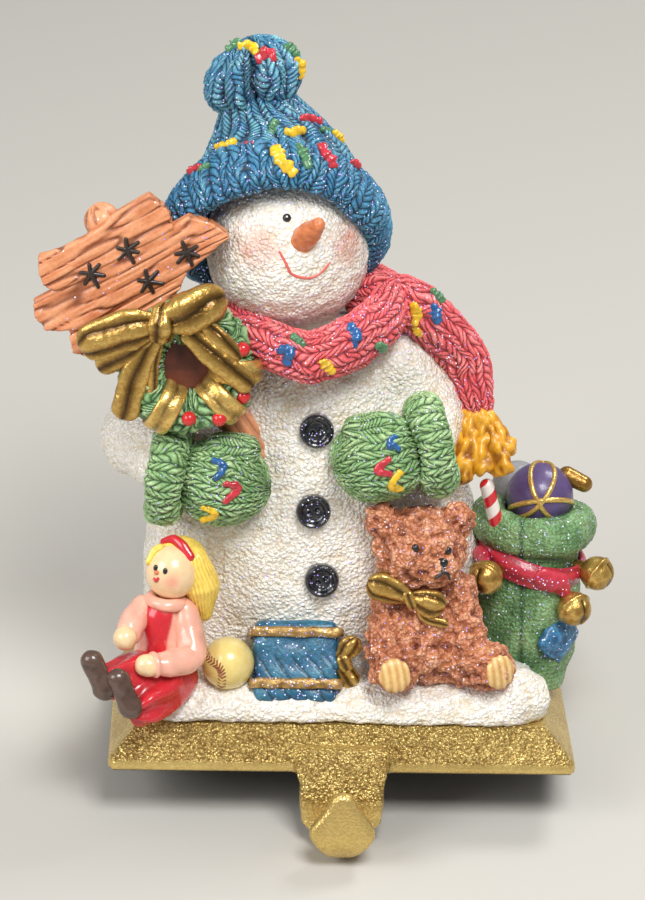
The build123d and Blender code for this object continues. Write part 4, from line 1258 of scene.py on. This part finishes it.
head = egg(doll_head, doll_head_half, 60, 72)
face_paint = np.broadcast_to(tone(doll_skin), head.shape)
doll_cheek = seen_at(head, doll_cheek_pixel)
face_flush = np.exp(-(((head - doll_cheek) ** 2).sum(-1)) / 1.9 ** 2)
face_paint = blend(face_paint, tone(doll_flush), 0.8 * face_flush)
doll_eyes = [egg(seen_at(head, pixel), doll_eye_half, 14, 16) for pixel in doll_eye_pixels]
features = [(skin, tone(doll_eye_black), False) for skin in doll_eyes]
doll_nose = egg(seen_at(head, doll_nose_pixel), doll_nose_half, 14, 16)
features.append((doll_nose, tone(doll_nose_orange), False))
doll_mouth = sleeve([seen_at(head, pixel) for pixel in doll_mouth_pixels], (0.4, 0.5, 0.4), 20, 10)
features.append((doll_mouth, tone(doll_red), False))
hands = [soft(egg(doll_seat + place, half, 30, 36), doll_skin) for place, half in doll_hands]
belongs(cast("doll_head", (head, face_paint, False), *(features + hands)), gloss)


def hair_skin(skin, strands, shift):
    """Combed strands: grooves that run from end to end of a skin and sway a little, painted darker in the
    grooves as painted shade.
    """
    turn = circle_steps(skin.shape[1])[None, :] + 0.12 * grain(skin, 4.0, shift)
    comb = np.abs(np.sin(strands / 2 * turn))
    return raised(skin, 0.45 * (comb - 0.5)), shades(doll_hair_deep, doll_hair, 0.35 + comb), False


crown = egg(doll_head + (1.8, 2.8, 0.8), crown_half, 44, 100)
lock_path = [doll_head + (5.2, 0.6, 2.5), doll_head + (7.4, 0.8, -4.0), doll_head + (8.0, 2.0, -11.8)]
side_lock = sleeve(lock_path, (4.0, 4.7, 2.2), 46, 80)
brow_lock = sleeve([seen_at(head, pixel) for pixel in brow_lock_pixels], (1.0, 1.2, 0.9), 24, 24)
hair = (hair_skin(crown, 44, 0), hair_skin(side_lock, 26, 1), hair_skin(brow_lock, 8, 3))
belongs(cast("doll_hair", *hair), satin)
hair_band = sleeve([seen_at(crown, pixel) for pixel in hair_band_pixels], (1.2, 1.6, 1.7, 1.4), 36, 24, 0.7)
chest = sleeve([doll_seat + (0, 1, 4), doll_chest], (8.0, 5.6), 64, 90)
chest_seen = pixel_of(chest)
bib = np.interp(chest_seen[..., 1], bib_levels, bib_halves) - np.abs(chest_seen[..., 0] - bib_middle)
bib = np.clip(bib / bib_edge, 0, 1) * (outward(chest)[..., 1] < 0)
chest_paint = shades(doll_pink, doll_red, bib)
chest = raised(chest, 0.15 * grain(chest, 2.5) + 0.5 * bib)
left_arm = sleeve(doll_seat + np.array(doll_left_arm), (3.4, 3.6, 3.1), 36, 36)
right_arm = sleeve(doll_seat + np.array(doll_right_arm), (3.6, 4.0, 3.5, 2.9), 44, 36)
neck_ring = hoop(doll_seat + (0.6, -0.5, 20.5), (0.1, -0.1, 1), 3.8, 1.7, 1.6, 60, 24)
wrist_ring = hoop(doll_seat + (-2.2, -12.4, 7.2), (-1, -0.5, 0), 2.6, 0.9, 0.9, 40, 16)
blouse = [
    (chest, chest_paint, False),
    soft(left_arm, doll_pink, 0.3),
    soft(right_arm, doll_pink, 0.3),
    soft(neck_ring, doll_pink, 0.3)[:2] + (True,),
    soft(wrist_ring, doll_pink, 0.1)[:2] + (True,),
]
belongs(cast("doll_blouse", *blouse), gloss)
skirt_left = sleeve(doll_seat + np.array(doll_left_skirt), (7.4, 6.0, 4.3), 50, 60)
skirt_right = sleeve(doll_seat + np.array(doll_right_skirt), (7.0, 6.8, 6.2), 50, 60)


def cloth_skin(skin, folds, depth):
    """Cloth with soft folds along it: a wave round each section that grows towards the hem, painted darker in
    the troughs as painted shade.
    """
    share = np.linspace(0, 1, len(skin))[:, None]
    wave = np.sin(folds * circle_steps(skin.shape[1])[None, :] + 1.2 * grain(skin, 7.0))
    return (
        raised(skin, depth * share * wave + 0.15 * grain(skin, 2.2)),
        blend(tone(doll_red) * 0.6, tone(doll_red), 0.85 + 0.4 * wave * share), False)


pinafore = (
    cloth_skin(skirt_left, 5, fold_depth), cloth_skin(skirt_right, 6, fold_depth), soft(hair_band, doll_red))
belongs(cast("doll_pinafore", *pinafore), gloss)
boot_skins = []
for place in boot_places:
    heel = doll_seat + place - boot_toe
    boot = sleeve([heel, doll_seat + place, heel + 2 * boot_toe], (3.2, 2.8, 3.0), 40, 40, 0.9)
    # Painted shade: each boot is darker where its surface dips.
    boot_dents = grain(boot, 1.8)
    boot_paint = blend(tone(doll_boot) * 0.55, tone(doll_boot), 0.8 + boot_dents)
    boot_skins.append((raised(boot, 0.16 * boot_dents), boot_paint, False))
belongs(cast("doll_boots", *boot_skins), gloss)

# Ball
# A cream play ball with a curved seam of red-brown stitches.
ball_centre = np.array((-29.5, -24.0, 24.7))
ball_radius = 6.8
ball_cream = (238, 218, 142)
ball_deep = (228, 196, 108)
stitch_brown = (150, 82, 48)
seam_pixels = ((201, 652), (208, 660), (218, 668), (222, 678), (219, 690))
ball = egg(ball_centre, (ball_radius,) * 3, 44, 56)
ball_paint = shades(ball_deep, ball_cream, 0.7 + 0.5 * grain(ball, 4.0))
seam_path = curve([seen_at(ball, pixel) for pixel in seam_pixels], np.linspace(0, 1, 15))
seam_way = unit(np.gradient(seam_path, axis=0))
seam_out = unit(seam_path - ball_centre)
seam_side = np.cross(seam_way, seam_out)
stitches = []
for spot, way, side in zip(seam_path, seam_way, seam_side):
    for hand in (-1, 1):
        tip = spot + hand * 0.95 * side - 0.7 * way
        tip = ball_centre + ball_radius * unit(tip - ball_centre)
        stitches.append((sleeve([spot, tip], (0.24, 0.2), 8, 8), tone(stitch_brown), False))
belongs(cast("ball", (ball, ball_paint, False), *stitches), gloss)

# Wrapped gift
# A box in blue paper with slanted scored lines, bound by two bands of glittered gold, with a bow at its end.
gift_centre = np.array((-12.0, -19.5, 23.3))
gift_half = (11.0, 6.5, 10.5)
gift_round = 2.0
gift_lean = math.radians(24)
gift_up = np.array((0.0, math.sin(gift_lean), math.cos(gift_lean)))
gift_back = np.array((0.0, math.cos(gift_lean), -math.sin(gift_lean)))
gift_side = np.array((1.0, 0.0, 0.0))
gift_blue = (28, 92, 130)
gift_pale = (60, 128, 158)
gift_deep = (10, 36, 60)
band_gold = (190, 156, 96)
band_deep = (120, 88, 44)
band_shares = (0.36, -0.27)
band_half_height = 1.35
band_half_thickness = 0.75
band_gap = 0.6
band_corner = 1.9
score_spacing = 4.4
score_slope = 0.75
score_width = 0.075
gift_bow_ahead = 4.42
gift_bow_lift = 0.35
gift_bow_runs = (
    (((0, 0, 0), (3.0, -0.8, 4.6)), (1.6, 2.7), 5, 0.8, 0.0, 40, 40),
    (((0, 0, 0), (3.0, -0.8, -4.6)), (1.6, 2.5), 5, 0.8, 0.0, 40, 40),
    (((1.2, -1.0, 0.8), (1.8, -1.0, -0.8)), (1.9, 1.9), 4, 0.9, 0.0, 30, 32),
)


def box_skin(centre, half, corner, rows=76, sides=120):
    """A rounded box: a rounded oblong carried along its length, drawn in on a quarter circle at each end."""
    loop = outline(half[1], half[2], corner, sides)
    length = np.linspace(-half[0], half[0], rows)
    over = np.clip((np.abs(length) - half[0] + corner) / corner, 0, 1)
    inset = corner * (1 - np.sqrt(1 - over ** 2))
    share = 1 - inset / half[1]
    flat = centre + length[:, None, None] * gift_side
    skin = flat + share[:, None, None] * (loop[None, :, :1] * gift_back + loop[None, :, 1:] * gift_up)
    first = [flat[0] + part * (skin[0] - flat[0]) for part in (0.35, 0.7)]
    last = [flat[-1] + part * (skin[-1] - flat[-1]) for part in (0.7, 0.35)]
    return np.concatenate([np.array(first), skin, np.array(last)])


gift = box_skin(gift_centre, gift_half, gift_round)
gift_x = (gift - gift_centre) @ gift_side
gift_z = (gift - gift_centre) @ gift_up
score = (gift_x + score_slope * gift_z) / score_spacing
score = score + 0.12 * grain(gift, 6.0, 2)
score = np.exp(-((score - np.round(score)) / score_width) ** 2) * np.clip(1.2 - 0.5 * gift_z, 0, 1)
creases = grain(gift * (0.5, 1, 1), 2.6)
gift = raised(gift, -0.4 * score + 0.4 * creases)
# Painted highlight: the paper is paler on its raised crinkles.
gift_paint = shades(gift_blue, gift_pale, 0.3 + 0.9 * creases)
gift_paint = blend(gift_paint, tone(gift_deep), 0.9 * score)
gift_finish = paint_finish(
    "blue_paper_paint", roughness=0.38, pit_size=0.8, pit_depth=0.25, pit_shade=0.35, flecks=0.08, coat=0.2)
belongs(cast("gift", (gift, gift_paint, False)), gift_finish)
band_skins = []
for share in band_shares:
    middle = gift_centre + gift_up * (share * 2 * gift_half[2])
    loop = outline(gift_half[0] + band_gap, gift_half[1] + band_gap, band_corner, 140)
    section = circle_steps(16)
    out = unit(np.column_stack([loop[:, 0] / gift_half[0], loop[:, 1] / gift_half[1]]))
    spread = loop[:, None] + band_half_thickness * np.cos(section)[None, :, None] * out[:, None]
    band = middle + spread[..., :1] * gift_side + spread[..., 1:] * gift_back
    band = band + (band_half_height * np.sin(section))[None, :, None] * gift_up
    band = raised(band, 0.25 * grain(band, 1.5), True)
    band_paint = shades(band_deep, band_gold, 0.7 + 0.6 * grain(band, 1.2, 4))
    band_skins.append((band, band_paint, True))
glitter_gold = paint_finish(
    "glittered_gold_paint", roughness=0.34, pit_size=0.7, pit_depth=0.2, pit_shade=0.3, flecks=0.16, metal=0.45)
belongs(cast("gift_bands", *band_skins), glitter_gold)
gift_bow = gift_centre + gift_side * gift_half[0] - gift_back * gift_bow_ahead + gift_up * gift_bow_lift
gift_bow_skins = [ribbon(gift_bow + np.array(run), *form) for run, *form in gift_bow_runs]
belongs(cast("gift_bow", *gift_bow_skins), gold_ribbon)

# Bear
# A teddy bear seated against the snowman, its fur picked up in tufts with a tool, painted tan with dark
# brown painted shade between the tufts and a paler painted highlight on their tips. Bead eyes and nose,
# ribbed cream pads and a gold bow tie.
bear_seat = np.array((21.0, -18.0, 21.5))
bear_head = bear_seat + (-1.5, -2.5, 34.0)
bear_chest = bear_seat + (0, 0.5, 18.5)
bear_voxel = 0.6
tuft_height = 2.4
bear_tan = (244, 186, 154)
bear_mid = (222, 148, 114)
bear_deep = (136, 74, 48)
bear_black = (26, 24, 26)
pad_cream = (238, 204, 140)
pad_deep = (206, 150, 78)
pad_half = (4.1, 4.4, 1.6)
pad_places = (((-8.0, -17.6, 4.8), (0, -1, 0.1)), ((19.0, -14.2, 4.8), (0.55, -1, 0.1)))
tie = bear_chest + (-4.2, -10.2, 4.4)
tie_runs = (
    (((0, 0, 0), (-3.6, -0.4, 2.0), (-7.4, -0.2, 3.4)), (1.6, 3.2, 3.8), 5, 0.6, 0.0, 40, 40),
    (((0, 0, 0), (3.0, -0.6, -0.6), (5.4, -0.4, -1.4)), (1.6, 3.2, 3.7), 5, 0.6, 0.0, 40, 40),
    (((1.4, -0.4, -1.0), (4.2, -0.6, -5.0), (8.6, -0.8, -6.4)), (1.0, 1.4, 1.3), 4, 0.6, 0.0, 40, 36),
    (((-0.6, -1.0, 1.2), (0.4, -1.0, -1.2)), (1.5, 1.5), 4, 0.9, 0.0, 30, 30),
)
bear_eye_half = (0.95, 0.95, 1.15)
bear_nose_half = (1.5, 1.2, 1.3)
bear_eye_pixels = ((416, 550), (450, 551))
bear_nose_pixel = (444, 561)
bear_mouth_pixels = ((436, 579), (439, 575.5), (443, 573), (448, 575.5), (451, 579))

bear_head_skin = egg(bear_head, (11.6, 10.8, 10.8), 60, 72)
bear_muzzle = egg(bear_head + (4.6, -7.6, -2.8), (4.8, 4.4, 4.2), 40, 48)
bear_skins = [
    bear_head_skin, bear_muzzle,
    egg(bear_head + (-9.8, 1.0, 7.3), (4.8, 3.2, 4.8), 40, 48),
    egg(bear_head + (9.0, 1.0, 7.3), (4.8, 3.2, 4.6), 40, 48),
    sleeve([bear_seat + (0, 1, 8), bear_chest], (12.6, 9.4)),
    sleeve([bear_chest + (-8, 0, 3), bear_seat + (-11, -9.5, 9)], (5.0, 4.6)),
    sleeve([bear_chest + (8, 0, 3), bear_seat + (11.5, -9.0, 8)], (5.2, 5.0)),
    sleeve([bear_seat + (-5, -2, 6.5), bear_seat + (-8.0, -12.0, 4.5)], (6.4, 6.2)),
    sleeve([bear_seat + (6, -2, 5), bear_seat + (16.5, -9.5, 4.5)], (7.0, 6.4)),
]
bear = remelt("bear", cast("bear_forms", *[(skin, blank, False) for skin in bear_skins]), bear_voxel, 4)
places, facing = read_points(bear.data)
tufts = 0.5 + 0.5 * grain(places, 1.6) + 0.15 * grain(places, 3.2, 5)
# Painted shade and highlight: deep brown between the tufts, pale tan on their tips.
bear_paint = shades(bear_deep, bear_mid, 2.4 * tufts - 0.2)
bear_paint = blend(bear_paint, tone(bear_tan), 2.2 * (tufts - 0.5))
write_points(bear.data, places + facing * (tuft_height * (tufts - 0.5))[:, None], bear_paint)
fur = paint_finish(
    "tan_fur_paint", roughness=0.46, pit_size=1.0, pit_depth=0.95, pit_shade=0.5, flecks=0.05, pebbled=True)
belongs(bear, fur)
bear_face = [egg(seen_at(bear_head_skin, pixel), bear_eye_half, 16, 20) for pixel in bear_eye_pixels]
bear_nose = egg(seen_at(bear_muzzle, bear_nose_pixel), bear_nose_half, 20, 24)
lip_line = [seen_at(bear_muzzle, pixel) + (0, -0.5, 0) for pixel in bear_mouth_pixels]
bear_mouth = sleeve(lip_line, (0.35, 0.45, 0.35), 30, 10)
bear_lip = sleeve([seen_at(bear_muzzle, bear_nose_pixel), lip_line[2]], (0.4, 0.4), 12, 10)
bear_face += [bear_nose, bear_mouth, bear_lip]
belongs(cast("bear_face", *[(skin, tone(bear_black), False) for skin in bear_face]), gloss)
pad_skins = []
for place, way in pad_places:
    pad = egg(bear_seat + place, pad_half, 40, 60, way)
    weave = np.sin(3.4 * (pad - bear_seat) @ unit((1, 0.3, 0.15)))
    # Painted shade: the pads are darker in the grooves between their ribs.
    pad_paint = shades(pad_deep, pad_cream, 0.7 + 0.5 * weave)
    pad_skins.append((raised(pad, 0.14 * weave), pad_paint, False))
belongs(cast("bear_pads", *pad_skins), satin)
tie_skins = [ribbon(tie + np.array(run), *form) for run, *form in tie_runs]
belongs(cast("bear_tie", *tie_skins), gold_ribbon)

# Sack of toys
# A bulging sack with a rolled collar, woven cloth texture and a seam down its front, tied by a red sash with
# gold bells. A blue patch is sewn on, and a bauble, a silver ball and a striped cane look out of the mouth.
sack_foot = np.array((47.0, 6.0, 11.0))
sack_axis = unit((0.07, -0.03, 1.0))
sack_height = 40.0
sack_radius = 14.2
sack_shares = (0, 0.2, 0.42, 0.65, 0.84, 1.0)
sack_radii = (12.6, 13.7, 14.2, 13.8, 12.6, 12.4)
sack_threads = 60
sack_rows = 32
collar_threads = 20
mouth_shade_half = (11.0, 11.0, 3.0)
sack_mouth = sack_foot + sack_axis * (sack_height + 3.0)
belt_axis = unit((0.28, -0.12, 1))
belt_centre = sack_foot + sack_axis * (0.86 * sack_height)
belt_half_thickness = 1.4
belt_half_height = 3.2
collar_radius = 11.6
collar_half_thickness = 4.2
collar_half_height = 5.0
sack_green = (110, 160, 104)
sack_light = (160, 198, 146)
sack_deep = (40, 82, 46)
belt_red = (206, 52, 72)
patch_blue = (66, 138, 190)
patch_deep = (30, 84, 132)
cane_white = (246, 238, 232)
cane_red = (214, 36, 48)
bauble_violet = (92, 74, 124)
silver = (150, 152, 158)
bell_places = ((-12.5, -16.0, -1.0), (11.0, -13.0, -10.5), (17.1, -7.0, -2.8))
bell_radius = 4.5
sash_run = ((3.0, -14.4, -1.8), (6.5, -13.6, -3.5), (9.1, -13.0, -6.9))
left_sash_run = ((-13.5, -6.0, 2.2), (-12.6, -12.0, 1.5))
bauble_radius = 8.7
bauble_band_ways = ((0.75, -0.35, 0.5), (-0.9, -0.3, 0.75), (0.1, -0.5, -0.9))
bauble_band_offset = 2.8
silver_radius = 6.8
patch_half = (5.6, 6.6, 2.6)
cane_run = ((0, 0, 0), (2.0, 0.75, -7.5), (4.0, 1.5, -15.0))
cane_radius = 1.9
cane_stripes = 3.4
seam_pixel = 521


def woven(skin, along, across, looped=False):
    """Coarse cloth: a weave of rounded crossings, along by across of them, a little uneven, painted lighter
    on the crossings and bulges as a painted highlight and darker between them as painted shade, with a dark
    seam.
    """
    sway = 0.12 * grain(skin, 4.0)
    height = np.abs(np.sin(math.pi * (along + sway)) * np.sin(math.pi * (across + sway)))
    seam = np.exp(-((pixel_of(skin)[..., 0] - seam_pixel) / 1.6) ** 2) * (outward(skin, looped)[..., 1] < 0)
    lump = 0.7 * grain(skin, 7.0, 3) + 0.5 * grain(skin, 3.2, 5)
    paint = shades(sack_deep, sack_green, 0.7 + 0.5 * height + 0.6 * lump)
    paint = blend(paint, tone(sack_light), 0.35 * height + 0.1 + 0.8 * lump)
    paint = blend(paint, tone(sack_deep), 0.8 * seam)
    return raised(skin, 0.3 * height - 0.7 * seam + 0.8 * lump, looped), paint, looped


sack_share = np.linspace(0, 1, 96)
sack_wide = np.interp(sack_share, sack_shares, sack_radii)
sack_side = unit(np.array((1.0, 0, 0)) - sack_axis * sack_axis[0])
sack_back = np.cross(sack_axis, sack_side)
sack_turn = circle_steps(150)
sack_ring = np.cos(sack_turn)[:, None] * sack_side + np.sin(sack_turn)[:, None] * sack_back
sack_body = sack_foot + (sack_height * sack_share)[:, None, None] * sack_axis
sack_body = sack_body + sack_wide[:, None, None] * sack_ring
collar = hoop(sack_mouth, sack_axis, collar_radius, collar_half_thickness, collar_half_height, 150, 50)
collar = collar + outward(collar, True) * (1.5 * grain(collar, 8.0))[..., None]
sack_finish = paint_finish(
    "green_cloth_paint", roughness=0.42, pit_size=0.8, pit_depth=0.5, pit_shade=0.34, flecks=0.04, coat=0.15,
    pebbled=True)
threads = np.linspace(0, sack_threads, 150, endpoint=False)
sack_cloth = woven(sack_body, sack_rows * sack_share[:, None], threads[None, :])
collar_steps = np.linspace(0, collar_threads, 50, endpoint=False)
collar_cloth = woven(collar, collar_steps[None, :], threads[:, None], True)
# Painted shade: a dark green disc closes the sack's mouth, where its inside would lie in shadow.
mouth_shade = egg(sack_mouth - sack_axis * 2.0, mouth_shade_half, 24, 48, sack_axis)
belongs(cast("sack", sack_cloth, collar_cloth, (mouth_shade, tone(sack_deep), False)), sack_finish)

belt = hoop(belt_centre, belt_axis, 0.96 * sack_radius, belt_half_thickness, belt_half_height, 150, 28)
belt_folds = np.sin(4 * circle_steps(28)[None, :] + 2.0 * grain(belt, 12.0))
belt = raised(belt, 0.25 * belt_folds + 0.5 * grain(belt, 9.0), True)
# Painted shade: the sash is darker in the troughs of its folds.
belt_paint = blend(tone(belt_red) * 0.5, tone(belt_red), 0.75 + 0.5 * belt_folds)
sash = sleeve(belt_centre + np.array(sash_run), (3.0, 3.4, 1.0), 40, 32, 0.5)
sash_left = sleeve(belt_centre + np.array(left_sash_run), (2.2, 1.8), 30, 24, 0.7)
belt_finish = paint_finish(
    "red_sash_paint", roughness=0.35, pit_size=0.9, pit_depth=0.15, pit_shade=0.2, flecks=0.06, coat=0.3)
sash_skins = [(belt, belt_paint, True), soft(sash, belt_red, 0.25), soft(sash_left, belt_red, 0.25)]
belongs(cast("sash", *sash_skins), belt_finish)

bell_skins = []
for place in bell_places:
    spot = belt_centre + place
    away = unit(np.array(place) * (1, 1, 0) + (0, -2, 0))
    bell = egg(spot, (bell_radius,) * 3, 48, 48, unit(away + (0, 0, -0.5)), (0, 0, 1))
    latitude = np.linspace(-1, 1, 48)[:, None]
    turn = circle_steps(48)[None, :]
    slot_line = np.exp(-(np.sin(turn) / 0.13) ** 2) * (latitude > 0.15)
    rim = np.exp(-(latitude / 0.07) ** 2)
    hole = np.exp(-((latitude - 0.98) / 0.16) ** 2)
    shade = np.clip(slot_line + hole, 0, 1)
    bell = raised(bell, -0.6 * shade + 0.45 * rim + 0.1 * grain(bell, 1.6))
    paint = shades(gold_mid, gold_light, 0.5 + 0.5 * grain(bell, 2.0))
    bell_skins.append((bell, blend(paint, tone(gold_deep), shade), False))
    stalk = sleeve([spot, spot + 0.45 * (belt_centre - spot)], (2.2, 1.9), 20, 24)
    bell_skins.append((stalk, tone(gold_mid) * 0.8, False))
belongs(cast("bells", *bell_skins), gold_ribbon)

patch_centre = sack_foot + (9.8, -10.4, 14.2)
patch_out = unit((0.72, -0.7, 0.0))
patch = egg(patch_centre, patch_half, 50, 72, patch_out, (0, 0, 1))
patch_turn = circle_steps(72)[None, :]
diamond = 1 / (np.abs(np.cos(patch_turn)) + np.abs(np.sin(patch_turn)))
patch_middle = patch.mean(1, keepdims=True)
patch = patch_middle + (patch - patch_middle) * (0.45 + 0.75 * diamond)[..., None]
patch_threads = grain(patch, 1.2)
# Painted shade: the patch is darker where its threads dip.
patch_paint = shades(patch_deep, patch_blue, 0.7 + patch_threads)
belongs(cast("sack_patch", (raised(patch, 0.25 * patch_threads), patch_paint, False)), gift_finish)

bauble_centre = sack_mouth + (1.3, -0.7, 7.8)
bauble = egg(bauble_centre, (bauble_radius,) * 3, 48, 60)
bauble_paint = blend(tone(bauble_violet) * 0.65, tone(bauble_violet), 0.8 + 0.5 * grain(bauble, 4.0))
belongs(cast("bauble", (bauble, bauble_paint, False)), satin)
bauble_band_radius = math.sqrt(bauble_radius ** 2 - bauble_band_offset ** 2)
bauble_bands = []
for way in bauble_band_ways:
    band = hoop(bauble_centre + bauble_band_offset * unit(way), way, bauble_band_radius, 0.55, 0.7, 120, 16)
    bauble_bands.append((band, tone(gold_light), True))
bauble_cap = sleeve([bauble_centre + (7, 2, 5), bauble_centre + (11.5, 1, 3.0)], (2.4, 2.2), 30, 32)
belongs(cast("bauble_gold", *(bauble_bands + [(bauble_cap, tone(gold_mid), False)])), gold_ribbon)
silver_ball = egg(sack_mouth + (-4.0, 9.0, 7.0), (silver_radius,) * 3, 40, 48)
belongs(cast("silver_ball", (silver_ball, tone(silver), False)), satin)

cane_top = sack_mouth + (-13.2, -10.0, 13.5)
cane = sleeve(cane_top + np.array(cane_run), (cane_radius,) * 3, 90, 40)
stripe = np.linspace(0, cane_stripes, len(cane))[:, None] + circle_steps(40)[None, :] / (2 * math.pi)
cane_paint = shades(cane_white, cane_red, 8 * np.sin(2 * math.pi * stripe))
belongs(cast("candy_cane", (cane, cane_paint, False)), gloss)

# Floor and light
# A plain pale table, on which the holder rests on the back edge of its plate and the bend of its hook.
# Soft light comes from above on the right, from the left and from behind.
floor_back = np.array((0.0, 37.5, -0.15))
floor_front = np.array((0.0, -47.2, -18.6))
floor_reach = 3000.0
floor_pale = (190, 187, 180)
light_aim = np.array((0.0, 0.0, 80.0))
lamps = (
    ("key_light", (180, -640, 800), 360, 8.2),
    ("side_light", (-640, -440, 460), 460, 3.9),
    ("top_light", (420, 240, 860), 300, 4.0),
)
sky_colour = (1.0, 0.985, 0.96, 1.0)
sky_strength = 0.295
floor_way = unit(floor_front - floor_back)
floor_corners = [
    floor_back + side * floor_reach * np.array((1.0, 0, 0)) + way * floor_reach * floor_way
    for side, way in ((-1, 1), (1, 1), (1, -1), (-1, -1))]
floor_mesh = bpy.data.meshes.new("floor")
floor_mesh.from_pydata((np.array(floor_corners) * mm).tolist(), [], [(0, 1, 2, 3)])
floor = new_piece("floor", floor_mesh)
table = bpy.data.materials.new("pale_table")
table.use_nodes = True
table.node_tree.nodes.clear()
table_start = Wire(table.node_tree)
behind = table_start.node("ShaderNodeNewGeometry", {}, {}, "Backfacing")
plain = table_start.node("ShaderNodeBsdfPrincipled", {}, {"Base Color": rgba(floor_pale), "Roughness": 0.8})
clear = table_start.node("ShaderNodeBsdfTransparent", {}, {})
one_sided = table_start.node("ShaderNodeMixShader", {}, {0: behind, 1: plain, 2: clear})
table_start.node("ShaderNodeOutputMaterial", {}, {"Surface": one_sided})
floor_mesh.materials.append(table)


def lamp(name, place, aim, size, power):
    """A square soft box at a place, turned to face its aim."""
    light = bpy.data.lights.new(name, "AREA")
    light.size = size * mm
    light.energy = power
    box = bpy.data.objects.new(name, light)
    back = unit(np.asarray(place, float) - aim)
    side = unit(np.cross((0, 0, 1), back))
    axes = np.stack([side, np.cross(back, side), back, np.asarray(place) * mm], 1)
    box.matrix_world = Matrix(axes.tolist() + [[0.0, 0.0, 0.0, 1.0]])
    bpy.context.scene.collection.objects.link(box)


for name, place, size, power in lamps:
    lamp(name, place, light_aim, size, power)
sky = bpy.data.worlds.new("sky")
sky.use_nodes = True
sky.node_tree.nodes["Background"].inputs["Color"].default_value = sky_colour
sky.node_tree.nodes["Background"].inputs["Strength"].default_value = sky_strength
bpy.context.scene.world = sky
